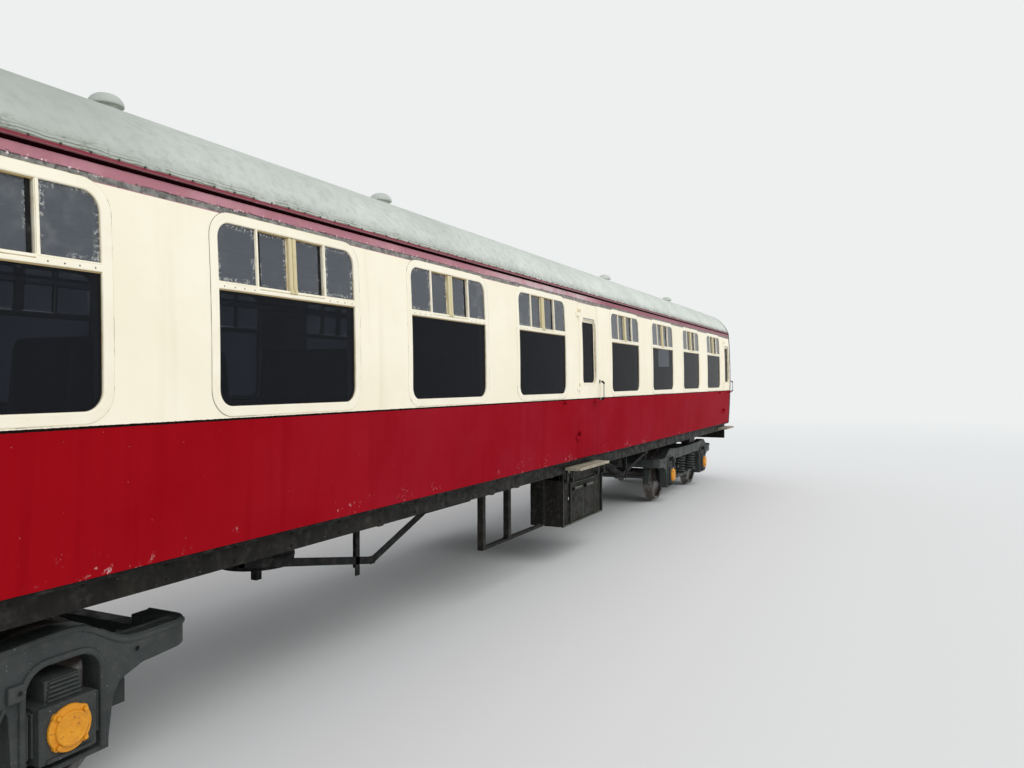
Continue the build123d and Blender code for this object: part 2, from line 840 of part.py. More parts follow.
def make_truss():
    """Angle-iron frame under the solebar beside the far bogie: chord, posts and sloping brace."""
    low = truss_chord_height
    bar = truss_bar
    thin = truss_thickness
    x1 = bogie_centre - truss_from_bogie
    x0 = x1 - truss_chord_length
    peak = x0 - truss_brace_run
    top = solebar_bottom
    y0 = truss_y
    y1 = truss_y + thin
    chord = box(x0, x1, y0, y1, low, low + bar) + box(x0, x1, y0 - bar, y0, low, low + thin)
    posts = box(x0, x0 + bar, y0, y1, low - truss_post_drop, top) + box(x1 - bar, x1, y0, y1, low, top)
    brace = polygon([(x0, low), (x0, low + bar), (peak + bar / 2, top), (peak - bar, top)])
    truss = chord + posts + along_y(brace, y0, y1)
    web = solebar_outer - solebar_web
    for x in (x0, x1 - bar, peak - bar / 2):
        truss = truss + box(x, x + bar, y1, web, top - thin, top)
    return truss


def make_hung_frame():
    """Open frame of posts and bars that hangs beside the battery box."""
    left, right = hung_frame_posts
    y0 = hung_frame_y - hung_frame_post / 2
    y1 = hung_frame_y + hung_frame_post / 2
    bar = hung_frame_bar
    y_top = solebar_outer - solebar_web
    bottom = hung_frame_bottom
    frame = box(left, hung_frame_rod_x, y1 - bar, y1, bottom, bottom + hung_frame_bar_height)
    frame = frame + box(left, hung_frame_rod_x, y0, y0 + bar, bottom, bottom + hung_frame_bar_height)
    for x in (left, right):
        frame = frame + box(x, x + hung_frame_post, y0, y1, bottom, solebar_bottom)
        frame = frame + box(x, x + hung_frame_post, y1, y_top, solebar_bottom - bar, solebar_bottom)
    rod_x = hung_frame_rod_x - hung_frame_rod_radius
    rod_y = y1 - hung_frame_rod_radius
    lug = hung_frame_rod_lug
    rod_foot = (rod_x, rod_y, bottom + hung_frame_rod_foot)
    frame = frame + rod(rod_foot, (rod_x, rod_y, solebar_bottom), hung_frame_rod_radius)
    lug_y = rod_y - hung_frame_rod_radius
    return frame + box(rod_x - lug, rod_x + lug, lug_y, y_top, solebar_bottom - bar, solebar_bottom)


def make_footstep(x, half_length):
    """A plank below a door on brackets from the solebar."""
    low = footstep_top - footstep_thickness
    plank = box(x - half_length, x + half_length, footstep_inner, footstep_outer, low, footstep_top)
    thin = footstep_bracket_thickness
    for place in footstep_bracket_places:
        x0 = x + place * half_length - footstep_bracket_width / 2
        x1 = x0 + footstep_bracket_width
        bracket_end = footstep_outer - footstep_bracket_set_back
        plank = plank + box(x0, x1, solebar_outer, bracket_end, low - thin, low)
        plank = plank + box(x0, x1, solebar_outer, solebar_outer + thin, solebar_bottom, low)
    return plank


def make_pipe_stubs():
    """Bare pipe ends on the face of one headstock: the brake pipe and the steam heating pipe."""
    low = plate_bottom - headstock_height + pipe_above_headstock
    start = body_half_length
    stubs = []
    for y, radius in ((-pipe_offset, pipe_radii["brake"]), (pipe_offset, pipe_radii["heating"])):
        stubs.append(rod((start, y, low), (start + pipe_length, y, low), radius))
    return stubs


# Roof ventilators, gangways, buffers and couplers

def make_vent(x, side):
    """A dome on a short neck, cut along the roof skin where it stands."""
    lean = math.asin(vent_offset / roof_top_radius)
    foot = roof_top_centre + roof_top_radius * math.cos(lean)
    rim = vent_top - vent_dome_height - vent_rim_height
    root = foot - vent_neck_radius
    profile = [(0, root), (vent_neck_radius, root), (vent_neck_radius, rim), (vent_radius, rim),
               (vent_radius, rim + vent_rim_height), (vent_cap_radius, vent_top), (0, vent_top)]
    body = Pos(x, side * vent_offset, 0) * revolve(Plane.XZ * polygon(profile), Axis.Z)
    tangent = Pos(x, side * vent_offset, foot) * Rot(-side * math.degrees(lean), 0, 0)
    below = box(-vent_radius, vent_radius, -vent_radius, vent_radius, -2 * vent_neck_radius, 0)
    return body - tangent * below


gangway_bottom = buffer_height + coupler_head_half_height + gangway_above_coupler


def ring_face(set_back):
    """Outline of the gangway, as (y, z), less the passage; set_back narrows it all round."""
    half = gangway_half_width - set_back
    low = gangway_bottom + set_back
    high = gangway_top - set_back
    return round_topped(half, low, high, gangway_corner - set_back) - passage_face()


def make_bellows():
    """Concertina between the end wall and the faceplate, as thick and thin frames in turn."""
    length = gangway_reach - faceplate_thickness
    step = length / (2 * bellows_folds)
    body = None
    for i in range(2 * bellows_folds):
        set_back = bellows_set_back + (i % 2) * bellows_fold_depth
        start = body_half_length + i * step
        fold = along_x(ring_face(set_back), start, start + step)
        body = fold if body is None else body + fold
    return body


def make_faceplate():
    start = body_half_length + gangway_reach - faceplate_thickness
    return along_x(ring_face(0), start, start + faceplate_thickness)


def make_buffer(y):
    x = body_half_length
    housing = rod((x, y, buffer_height), (x + buffer_housing_length, y, buffer_height), buffer_housing_radius)
    half = buffer_flange / 2
    flange = box(x, x + buffer_flange_thickness, y - half, y + half, buffer_height - half, plate_bottom - 1)
    head_start = x + buffer_reach - buffer_head_thickness
    ram = rod((x, y, buffer_height), (head_start, y, buffer_height), buffer_ram_radius)
    face = Pos(y, buffer_height) * Ellipse(buffer_head_width / 2, buffer_head_height / 2)
    head = along_x(face, head_start, x + buffer_reach)
    return housing + flange + ram + head


def make_coupler():
    """Automatic knuckle coupler: shank, head with its guard arm, and the knuckle."""
    half = coupler_shank / 2
    middle = buffer_height
    root = body_half_length + coupler_reach - coupler_head_length
    shank = box(body_half_length, root + coupler_shank / 2, -half, half, middle - half, middle + half)
    head_plan = polygon([(root + u, v) for u, v in coupler_head_plan])
    head = along_z(head_plan, middle - coupler_head_half_height, middle + coupler_head_half_height)
    knuckle_plan = polygon([(root + u, v) for u, v in coupler_knuckle_plan])
    knuckle_half = coupler_knuckle_half_height
    knuckle = along_z(knuckle_plan, middle - knuckle_half, middle + knuckle_half)
    return shank + head + knuckle


# Inside the saloons

def make_partitions():
    half = partition_thickness / 2
    inset = side_thickness + fit_gap
    walls = []
    full = body_outline(floor_top, inset, roof_thickness + fit_gap)
    doorway = Rectangle(2 * partition_doorway_half_width, passage_top - floor_top)
    doorway = Pos(0, (floor_top + passage_top) / 2) * doorway
    for x in partition_places:
        walls.append(along_x(full - doorway, x - half, x + half))
    outer = -partition_places[0] + half + fit_gap
    for side in (-1, 1):
        y = side * (toilet_wall_y + half)
        start = -shell_half_length + fit_gap
        walls.append(box(start, -outer, y - half, y + half, floor_top, cantrail_bottom))
    return walls


def make_seats(x, side, end):
    """One double seat as plinth, back shell, cushion and back pad.

    side is the sign of Y and end the sign of its place in the bay.
    """
    y0 = side * seat_inner_y
    y1 = side * seat_outer_y
    back_end = (bay_pitch - seat_back_to_back_gap) / 2
    back_front = back_end - seat_back_depth
    front = back_front - seat_cushion_depth
    shell = back_end - seat_back_shell
    gap = fit_gap
    plinth_front = front + seat_plinth_set_back
    plinth_back = shell - gap
    plinth = box(x + end * plinth_front, x + end * plinth_back, y0, y1, floor_top, seat_cushion_bottom)
    shell_top = seat_back_top - seat_shell_below_pad
    back_shell = box(x + end * shell, x + end * back_end, y0, y1, floor_top, shell_top)
    low = seat_cushion_bottom
    high = seat_cushion_top
    cushion_points = [(front, low), (front, high - seat_nose), (front + seat_nose, high),
                      (back_front, high - seat_cushion_slope), (back_front, low)]
    back_points = [(back_front + gap, low), (back_front + gap, high),
                   (back_front + seat_back_rake, seat_back_top - seat_back_rake),
                   (back_front + seat_back_rake + seat_back_nose, seat_back_top),
                   (shell - gap, seat_back_top), (shell - gap, low)]
    pads = []
    for points in (cushion_points, back_points):
        pads.append(along_y(polygon([(x + end * u, v) for u, v in points]), y0, y1))
    return [plinth, back_shell], pads


def make_table(x, side):
    """A table top from the wall towards the aisle, and its leg."""
    y0 = side * table_inner_y
    y1 = side * (side_y(table_top, side_thickness) - fit_gap - 1)
    top = box(x - table_half_length, x + table_half_length, y0, y1, table_top - table_thickness, table_top)
    leg_y = side * (table_inner_y + table_leg_from_end)
    leg_top = table_top - table_thickness - fit_gap
    leg = box(x - table_leg / 2, x + table_leg / 2, leg_y, leg_y + side * table_leg, floor_top, leg_top)
    return [top, leg]


rack_height = roof_edge_height - rack_below_roof_edge


def make_rack(x0, x1, side):
    y1 = side_y(rack_height + rack_thickness, side_thickness) - fit_gap
    return box(x0, x1, side * (y1 - rack_depth), side * y1, rack_height, rack_height + rack_thickness)


# Bogie, drawn about its own centre

axle_offset = wheelbase / 2
axle_height = wheel_radius

# Top edge of the cast frame from the middle to one end, as (x, z)
frame_top_points = ((0, 890), (900, 898), (1300, 930), (1420, 918), (1600, 800), (1700, 776),
                    (frame_end, 783))
# Lower edge back from the end to the pedestal's foot
frame_low_points = ((frame_end, 645), (1750, 622), (1610, 570), (1572, 500), (1545, 300),
                    (1545, jaw_bottom))


def make_bogie_frame():
    """One casting: side frames with hollow arms, end bars cut lower in the middle, two cross transoms."""
    right = [(x, z) for x, z in frame_top_points + frame_low_points]
    right += [(leg_foot_x, jaw_bottom), (leg_knee_x, leg_knee_height), (deck_end_x, frame_deck_bottom)]
    left = [(-x, z) for x, z in reversed(right) if x > 0]
    profile = polygon(right + left)
    side_view = along_y(profile, -frame_outer_y, frame_outer_y)
    plan = RectangleRounded(2 * frame_end, 2 * frame_outer_y, frame_corner_radius)
    plan = plan - RectangleRounded(2 * frame_end_inner, 2 * frame_inner_y, frame_inner_corner_radius)
    frame = side_view & along_z(plan, 0, roof_crest)
    jaw_height = jaw_top - jaw_bottom - tie_bar_height
    for x in (axle_offset, -axle_offset):
        jaw_middle = jaw_bottom + tie_bar_height + jaw_height / 2
        jaw = Pos(x, jaw_middle) * RectangleRounded(2 * jaw_half_width, jaw_height, jaw_corner)
        square = Rectangle(2 * jaw_half_width, 2 * jaw_corner)
        square = Pos(x, jaw_bottom + tie_bar_height + jaw_corner) * square
        frame = frame - along_y(jaw + square, -frame_outer_y - 1, frame_outer_y + 1)
    for x in (transom_offset, -transom_offset):
        inner = x - transom_width / 2
        reach = frame_inner_y + transom_socket
        frame = frame + box(inner, inner + transom_width, -reach, reach, transom_low, transom_high)
    wall = arm_wall_thickness
    hollow_length = arm_hollow_end - arm_hollow_start
    hollow = RectangleRounded(hollow_length, frame_outer_y - frame_inner_y - 2 * wall, arm_hollow_corner)
    for end in (-1, 1):
        for side in (-1, 1):
            x = end * (arm_hollow_start + hollow_length / 2)
            y = side * (frame_inner_y + frame_outer_y) / 2
            frame = frame - Pos(x, y, 0) * along_z(hollow, arm_hollow_floor, roof_edge_height)
        x0, x1 = sorted((end * (frame_end_inner - 1), end * (frame_end + 1)))
        frame = frame - box(x0, x1, -end_bar_low_half, end_bar_low_half, end_bar_low_top, roof_edge_height)
    return frame


def make_bolster():
    """Swing bolster with the centre bowl and two side bearers, between the cross transoms."""
    half = transom_offset - transom_width / 2 - fit_gap
    wide = bolster_half_width
    flat = bolster_flat_half_width
    tip = bolster_bottom + bolster_rise
    beam = along_x(polygon([(-wide, tip), (-flat, bolster_bottom), (flat, bolster_bottom), (wide, tip),
                            (wide, bolster_top), (-wide, bolster_top)]), -half, half)
    bowl = along_z(Circle(centre_plate_radius), bolster_top, centre_plate_bottom - fit_gap)
    pad = side_bearer_size / 2
    pad_top = body_bolster_bottom - fit_gap
    bearer = box(-pad, pad, side_bearer_y - pad, side_bearer_y + pad, bolster_top, pad_top)
    return [beam, bowl] + left_and_right(bearer)


def make_axlebox(x):
    """One axlebox with its guides, crown and round cover with four ears for bolts."""
    half = axlebox_half_width
    body = box(x - half, x + half, axlebox_inner_y, axlebox_outer_y, axlebox_bottom, axlebox_top)
    guide = axlebox_guide_half_width
    guide_inner = frame_inner_y + axlebox_guide_inset
    guide_outer = frame_outer_y - axlebox_guide_inset
    guides = box(x - guide, x + guide, guide_inner, guide_outer,
                 axlebox_bottom + axlebox_guide_low, axlebox_top - axlebox_guide_high)
    crown_half = axlebox_crown_half_width
    crown = box(x - crown_half, x + crown_half, axlebox_inner_y, axlebox_outer_y - axlebox_crown_set_back,
                axlebox_top, axlebox_crown_top)
    rim_face = axlebox_outer_y + cover_rim_thickness
    cover = rod((x, axlebox_outer_y, axle_height), (x, rim_face, axle_height), cover_radius)
    cover = cover + rod((x, rim_face, axle_height), (x, cover_face, axle_height), cover_disc_radius)
    for angle in (45, 135, 225, 315):
        ear_x = x + cover_ear_circle * math.cos(math.radians(angle))
        ear_z = axle_height + cover_ear_circle * math.sin(math.radians(angle))
        ear_face = rim_face + cover_ear_proud
        cover = cover + rod((ear_x, axlebox_outer_y, ear_z), (ear_x, ear_face, ear_z), cover_ear_radius)
    bore = rod((x, axlebox_inner_y - 1, axle_height), (x, axle_half_length + journal_clearance, axle_height),
               journal_radius + journal_clearance)
    return (body + guides + crown + cover) - bore


def make_equaliser():
    """The dropped beam on one side, with its two axleboxes and its spring seats."""
    low = beam_low_bottom
    high = beam_low_top
    flat = beam_flat_half_length
    outer_end = axle_offset + beam_end_beyond_axle
    right = [(0, high), (flat, high), (axle_offset - beam_rise_from_axle, axlebox_crown_top),
             (outer_end, axlebox_crown_top), (outer_end, axlebox_top),
             (axle_offset - beam_low_bend, axlebox_top),
             (flat + beam_foot, low), (0, low)]
    left = [(-x, z) for x, z in reversed(right) if x > 0]
    beam = along_y(polygon(right + left), beam_inner_y, beam_outer_y)
    for x in (axle_offset, -axle_offset):
        beam = beam + make_axlebox(x)
    for x in (spring_offset, -spring_offset):
        seat = spring_radius + spring_seat_margin
        seat_bottom = spring_bottom - spring_seat_thickness
        beam = beam + box(x - seat, x + seat, spring_y - seat, spring_y + seat, seat_bottom, spring_bottom)
        half = spring_bracket_half_width
        beam = beam + box(x - half, x + half, beam_outer_y, spring_y, high - spring_bracket_drop, seat_bottom)
    return beam


def make_spring(x):
    """Coil spring between its seat and the deck of the frame, as its outer envelope."""
    return Pos(x, spring_y, 0) * along_z(Circle(spring_radius), spring_bottom, frame_deck_bottom)


def make_brakes():
    """Clasp brakes: blocks on hangers from the side frames, joined by a beam across the bogie."""
    pieces = []
    face = wheel_radius + brake_block_gap
    y_middle = flange_back + flange_width + (tyre_width - flange_width) / 2
    half = brake_block_width / 2
    for axle in (axle_offset, -axle_offset):
        for side in (-1, 1):
            beam_x = axle + side * (face + brake_block_thickness + brake_beam_radius)
            hanger_top = arm_bracket_height if abs(beam_x) > axle_offset else deck_bracket_height
            piece = rod((beam_x, -y_middle, axle_height), (beam_x, y_middle, axle_height), brake_beam_radius)
            for y_side in (-1, 1):
                y = y_side * y_middle
                block = box(axle + side * wheel_radius * brake_block_reach, beam_x, y - half, y + half,
                            axle_height - brake_block_height / 2, axle_height + brake_block_height / 2)
                clear = rod((axle, y - half - 1, axle_height), (axle, y + half + 1, axle_height), face)
                x0 = beam_x - brake_hanger_width / 2
                x1 = beam_x + brake_hanger_width / 2
                y0 = y - brake_hanger_width / 2
                hanger = box(x0, x1, y0, y0 + brake_hanger_width, axle_height, hanger_top)
                bracket = box(x0, x1, y, y_side * (frame_inner_y - fit_gap),
                              hanger_top - brake_bracket_thickness, hanger_top)
                piece = piece + (block - clear) + hanger + bracket
            pieces.append(piece)
    return pieces


def make_wheelset():
    """Axle and two wheels, drawn about the middle of the axle."""
    axle_points = [(0, 0), (axle_radius, 0), (axle_radius, hub_outer_y), (journal_radius, hub_outer_y),
                   (journal_radius, axle_half_length), (0, axle_half_length)]
    half_axle = revolve(polygon(axle_points), Axis.Y)
    rim = wheel_radius - rim_thickness
    face = flange_back + tyre_width
    bore = axle_radius + fit_gap
    wheel_points = [(bore, hub_inner_y), (hub_radius, hub_inner_y), (rim, flange_back),
                    (flange_radius, flange_back), (wheel_radius, flange_back + flange_width),
                    (wheel_radius - tread_taper, face), (rim, face), (rim, face - rim_recess),
                    (hub_radius, hub_outer_y - web_dish), (hub_radius, hub_outer_y), (bore, hub_outer_y)]
    wheel = revolve(polygon(wheel_points), Axis.Y)
    return [half_axle + mirror(half_axle, about=Plane.XZ)] + left_and_right(wheel)


# Write every node

body_side = make_body_side()
save("body_side_left", [body_side])
save("body_side_right", [mirror(body_side, about=Plane.XZ)])
save("cantrails", left_and_right(make_cantrail()))
save("roof", [make_roof()])
end_wall = make_end_wall()
save("end_wall_far", [end_wall])
save("end_wall_near", [mirror(end_wall, about=Plane.YZ)])

toilet_ring, toilet_pane = make_toilet_window()
frames = [toilet_ring]
panes = [toilet_pane]
for window_x in window_centres:
    frames.extend(make_window_frame(window_x))
    panes.extend(make_window_glass(window_x))
save("window_frames", frames + [mirror(piece, about=Plane.XZ) for piece in frames])
save("window_glass", panes + [mirror(piece, about=Plane.XZ) for piece in panes])

leaf = make_door_leaf()
droplight_ring, droplight_pane = make_droplight()
fittings = []
for side in ("right", "left"):
    for place, x in door_centres.items():
        name = f"door_{side}_{place}"
        save(name, [place_door(leaf, side, x), place_door(droplight_ring, side, x)])
        save(f"{name}_glass", [place_door(droplight_pane, side, x)])
        beyond_end = side == "left" and x + bump_stop_from_door > body_half_length
        fittings.extend(place_door(piece, side, x) for piece in make_door_fittings(not beyond_end))
save("door_fittings", fittings)

save("floor", [make_floor()])
save("underframe", make_underframe())
save("battery_boxes", left_and_right(make_battery_box()))
cylinders = []
for end in (-1, 1):
    for side in (-1, 1):
        cylinder_x = end * cross_member_places[-1]
        cylinders.append(make_brake_cylinder(cylinder_x, side * brake_cylinder_y))
save("brake_cylinders", cylinders)
truss = make_truss()
save("truss_frames", left_and_right(truss) + left_and_right(mirror(truss, about=Plane.YZ)))
save("hung_frames", left_and_right(make_hung_frame()))
steps = left_and_right(make_footstep(door_centres["centre"] + centre_footstep_offset, footstep_half_length))
for place in ("near", "far"):
    steps += left_and_right(make_footstep(door_centres[place], end_footstep_half_length))
save("footsteps", steps)
save("pipe_stubs", make_pipe_stubs() + [turned(stub) for stub in make_pipe_stubs()])

vents = []
for x in vent_places:
    for side in (-1, 1):
        vents.append(make_vent(x, side))
save("roof_vents", vents)
bellows = make_bellows()
save("gangway_bellows_far", [bellows])
save("gangway_bellows_near", [mirror(bellows, about=Plane.YZ)])
save("gangway_faceplates", both_ends(make_faceplate()))
buffers = [make_buffer(y) for y in (-buffer_spacing / 2, buffer_spacing / 2)]
save("buffers", buffers + [mirror(piece, about=Plane.YZ) for piece in buffers])
coupler = make_coupler()
save("couplers", [coupler, turned(coupler)])

save("partitions", make_partitions())
seat_frames = []
seat_pads = []
tables = []
for x in window_centres:
    for side in (-1, 1):
        tables.extend(make_table(x, side))
        for end in (-1, 1):
            frame, pads = make_seats(x, side, end)
            seat_frames.extend(frame)
            seat_pads.extend(pads)
save("seat_frames", seat_frames)
save("seat_pads", seat_pads)
save("tables", tables)
half_partition = partition_thickness / 2 + fit_gap
racks = []
for x0, x1 in ((partition_places[1], partition_places[2]), (partition_places[3], partition_places[4])):
    for side in (-1, 1):
        racks.append(make_rack(x0 + half_partition, x1 - half_partition, side))
save("luggage_racks", racks)

bogie_frame = make_bogie_frame()
bolster = make_bolster()
equaliser = make_equaliser()
springs = [make_spring(x) for x in (spring_offset, -spring_offset)]
springs += [mirror(piece, about=Plane.XZ) for piece in springs]
brakes = make_brakes()
wheelset = make_wheelset()
for name, end in (("far", 1), ("near", -1)):
    centre = end * bogie_centre
    place = Pos(centre, 0, 0)
    save(f"bogie_{name}_frame", [place * bogie_frame])
    save(f"bogie_{name}_bolster", [place * piece for piece in bolster])
    save(f"bogie_{name}_equalisers", [place * piece for piece in left_and_right(equaliser)])
    save(f"bogie_{name}_springs", [place * piece for piece in springs])
    save(f"bogie_{name}_brakes", [place * piece for piece in brakes])
    for order, offset in (("outer", end * axle_offset), ("inner", -end * axle_offset)):
        axle_place = Pos(centre + offset, 0, axle_height)
        save(f"wheelset_{name}_{order}", [axle_place * piece for piece in wheelset])
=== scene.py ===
# %% [markdown]
# # Dressing a passenger coach
# The CAD model of the coach comes in as a fixed frame: every part already has its size and its place, and each
# part moves with a body such as the coach, a bogie or a door. This lesson adds what the eye sees: paint and its
# wear, window frames, castings, springs, bolts and upholstery. Pieces are drawn in metres, in the coach's own
# coordinates, so each one goes straight to where it belongs.

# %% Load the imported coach
import math

import bmesh
import bpy
from mathutils import Matrix, Vector, noise


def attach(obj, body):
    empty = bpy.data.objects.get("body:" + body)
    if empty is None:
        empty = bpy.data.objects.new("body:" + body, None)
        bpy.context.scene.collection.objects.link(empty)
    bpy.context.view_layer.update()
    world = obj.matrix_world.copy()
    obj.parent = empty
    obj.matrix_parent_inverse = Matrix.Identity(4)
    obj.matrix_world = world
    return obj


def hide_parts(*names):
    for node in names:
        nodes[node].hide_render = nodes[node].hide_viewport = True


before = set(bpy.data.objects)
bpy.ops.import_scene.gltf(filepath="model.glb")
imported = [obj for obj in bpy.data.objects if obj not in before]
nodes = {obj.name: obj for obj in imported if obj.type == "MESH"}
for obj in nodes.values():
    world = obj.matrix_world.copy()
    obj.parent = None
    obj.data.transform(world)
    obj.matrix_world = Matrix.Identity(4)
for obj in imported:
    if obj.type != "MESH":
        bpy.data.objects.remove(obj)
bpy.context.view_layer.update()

# %% [markdown]
# ## Sizes that several pieces share
# The drawing of a coach gives heights from the rail. The CAD model stands on its wheel flanges, which reach below
# the rail, so every height here has that depth added. The side of the body is a slice of a very large circle, and
# `side_y` gives its distance from the middle of the coach at any height.

# %% Heights, bays and the curve of the side
LIFT = 0.030
HALF_LENGTH, HALF_WIDTH, SIDE_RADIUS = 9.83, 1.372, 13.5
BODY_BOTTOM, WAIST, WIDEST = 1.2145 + LIFT, 1.922 + LIFT, 2.2 + LIFT
CANTRAIL, GUTTER_LOW, ROOF_EDGE = 3.066 + LIFT, 3.173 + LIFT, 3.19 + LIFT
GLASS_WIDTH, GLASS_BOTTOM, GLASS_TOP = 1.222, 1.994 + LIFT, 3.022 + LIFT
TRANSOM_LOW, TRANSOM_HIGH = 2.643 + LIFT, 2.682 + LIFT
BAY_PITCH = 1.9387
WINDOWS = [start + turn * i * BAY_PITCH for start, turn in ((2.237, 1), (-0.597, -1)) for i in range(4)]
DOORS = {"near": -7.83, "centre": 0.765, "far": 9.41}
DOOR_WIDTH = 0.66
BOGIES = {"far": 7.0865, "near": -7.0865}
AXLE_OFFSET, AXLE_HEIGHT = 1.2955, 0.457 + LIFT


def side_y(z):
    """Distance of the curved side from the middle of the coach at height z."""
    return HALF_WIDTH - SIDE_RADIUS + math.sqrt(SIDE_RADIUS ** 2 - (z - WIDEST) ** 2)


print(len(WINDOWS), "bays a side,", len(DOORS), "doors a side")

# %% [markdown]
# ## Camera, floor and light
# The camera stands beside the near end of the coach, at the height of a person's eyes, and looks along it. The
# lens is a wide one, so the near bay looks large and the far end small. A roll of a fraction of a degree is kept,
# because a hand-held picture is never quite level.

# %% Camera
CAMERA_PLACE = Vector((-8.347, -4.725, 2.157))
CAMERA_YAW, CAMERA_PITCH, CAMERA_ROLL = (math.radians(v) for v in (25.7357, -0.1551, -0.1564))
FOCAL_PIXELS, IMAGE_WIDTH, SENSOR = 799.35, 1024, 36

forward = Vector((math.cos(CAMERA_YAW) * math.cos(CAMERA_PITCH), math.sin(CAMERA_YAW) * math.cos(CAMERA_PITCH),
                  math.sin(CAMERA_PITCH)))
level_right = Vector((math.sin(CAMERA_YAW), -math.cos(CAMERA_YAW), 0))
level_up = level_right.cross(forward)
right = level_right * math.cos(CAMERA_ROLL) + level_up * math.sin(CAMERA_ROLL)
up = level_up * math.cos(CAMERA_ROLL) - level_right * math.sin(CAMERA_ROLL)
camera = bpy.data.objects.new("camera", bpy.data.cameras.new("camera"))
camera.matrix_world = Matrix((right, up, -forward)).transposed().to_4x4()
camera.location = CAMERA_PLACE
camera.data.sensor_width = SENSOR
camera.data.lens = FOCAL_PIXELS * SENSOR / IMAGE_WIDTH
camera.data.clip_end = 500
bpy.context.scene.collection.objects.link(camera)
bpy.context.scene.camera = camera
bpy.context.scene.view_settings.view_transform = "Standard"
print("lens", round(camera.data.lens, 2), "mm")

# %% [markdown]
# ## Short ways to build node trees
# Materials, node groups and Geometry Nodes are all trees of nodes. `add_node` makes one node, sets its options
# and fills its inputs: an input that is given another node's output is linked, and any other is set to a value.
# With it, a tree reads like a list of sentences.

# %% Node helpers
NUMBER = "NodeSocketFloat"


def add_node(tree, kind, inputs=None, **options):
    """Add a node to a tree, set its options, and link or set its inputs."""
    node = tree.nodes.new(kind)
    for key, value in options.items():
        setattr(node, key, value)
    for key, value in (inputs or {}).items():
        if isinstance(value, bpy.types.NodeSocket):
            tree.links.new(value, node.inputs[key])
        else:
            node.inputs[key].default_value = value
    return node


def maths(tree, operation, *values):
    """One step of arithmetic: returns its output socket."""
    return add_node(tree, "ShaderNodeMath", dict(enumerate(values)), operation=operation).outputs[0]


def vector_maths(tree, operation, *values):
    return add_node(tree, "ShaderNodeVectorMath", dict(enumerate(values)), operation=operation).outputs[0]


def steps(tree, value, low, high, from_value=0.0, to_value=1.0):
    """Rise smoothly from one value to another while the input goes from low to high."""
    return add_node(tree, "ShaderNodeMapRange", {0: value, 1: low, 2: high, 3: from_value, 4: to_value},
                    interpolation_type="SMOOTHSTEP").outputs[0]


def noise_over(tree, place, scale, detail=2.0, roughness=0.5):
    return add_node(tree, "ShaderNodeTexNoise", {"Vector": place, "Scale": scale, "Detail": detail,
                                                 "Roughness": roughness}).outputs[0]


def colour(red, green, blue):
    """A colour read off a screen, as the linear values that a shader wants."""
    linear = [((v / 255 + 0.055) / 1.055) ** 2.4 if v > 10.3 else v / 255 / 12.92 for v in (red, green, blue)]
    return (*linear, 1.0)


print("node helpers ready")

# %% [markdown]
# The floor is a plain pale disc. Far away it fades into the colour of the background, so no horizon line cuts
# the picture. The background shows its own brightness to the camera and to reflections, while the light that it
# gives is set apart from that. One broad lamp from above and in front gives the side of the coach its shape.

# %% Floor, background and lamp
BACKGROUND = colour(238, 240, 240)
SKY_LIGHT = 0.80
FLOOR_RADIUS, FADE_START, FADE_END = 150, 14.0, 45.0
LAMP_STRENGTH, LAMP_SPREAD, LAMP_TOWARDS = 1.15, 50, (0.25, 0.72, -0.75)


def set_up_background():
    world = bpy.data.worlds.new("studio")
    bpy.context.scene.world = world
    world.use_nodes = True
    tree = world.node_tree
    tree.nodes.clear()
    path = add_node(tree, "ShaderNodeLightPath").outputs
    seen = maths(tree, "MAXIMUM", path["Is Camera Ray"], path["Is Glossy Ray"])
    seen = maths(tree, "MAXIMUM", seen, path["Is Transmission Ray"])
    lighting = add_node(tree, "ShaderNodeBackground", {"Color": colour(250, 252, 255), "Strength": SKY_LIGHT})
    shown = add_node(tree, "ShaderNodeBackground", {"Color": BACKGROUND, "Strength": 1.0})
    mix = add_node(tree, "ShaderNodeMixShader", {0: seen, 1: lighting.outputs[0], 2: shown.outputs[0]})
    add_node(tree, "ShaderNodeOutputWorld", {0: mix.outputs[0]})


def make_floor():
    bm = bmesh.new()
    bmesh.ops.create_circle(bm, cap_ends=True, radius=FLOOR_RADIUS, segments=96)
    mesh = bpy.data.meshes.new("studio_floor")
    bm.to_mesh(mesh)
    bm.free()
    floor = bpy.data.objects.new("studio_floor", mesh)
    bpy.context.scene.collection.objects.link(floor)
    material = bpy.data.materials.new("studio_floor")
    material.use_nodes = True
    tree = material.node_tree
    tree.nodes.clear()
    place = add_node(tree, "ShaderNodeTexCoord").outputs["Object"]
    distance = add_node(tree, "ShaderNodeVectorMath", {0: place}, operation="LENGTH").outputs["Value"]
    fade = steps(tree, distance, FADE_START, FADE_END)
    matt = add_node(tree, "ShaderNodeBsdfDiffuse", {"Color": colour(226, 227, 226)})
    far = add_node(tree, "ShaderNodeEmission", {"Color": BACKGROUND, "Strength": 1.0})
    mix = add_node(tree, "ShaderNodeMixShader", {0: fade, 1: matt.outputs[0], 2: far.outputs[0]})
    add_node(tree, "ShaderNodeOutputMaterial", {"Surface": mix.outputs[0]})
    mesh.materials.append(material)


def add_lamp():
    """A sun lamp with a wide disc, so that its shadows are soft."""
    lamp = bpy.data.lights.new("front_light", "SUN")
    lamp.energy = LAMP_STRENGTH
    lamp.angle = math.radians(LAMP_SPREAD)
    holder = bpy.data.objects.new("front_light", lamp)
    holder.rotation_euler = Vector(LAMP_TOWARDS).to_track_quat("-Z", "Y").to_euler()
    bpy.context.scene.collection.objects.link(holder)


set_up_background()
make_floor()
add_lamp()
print("floor and light ready")

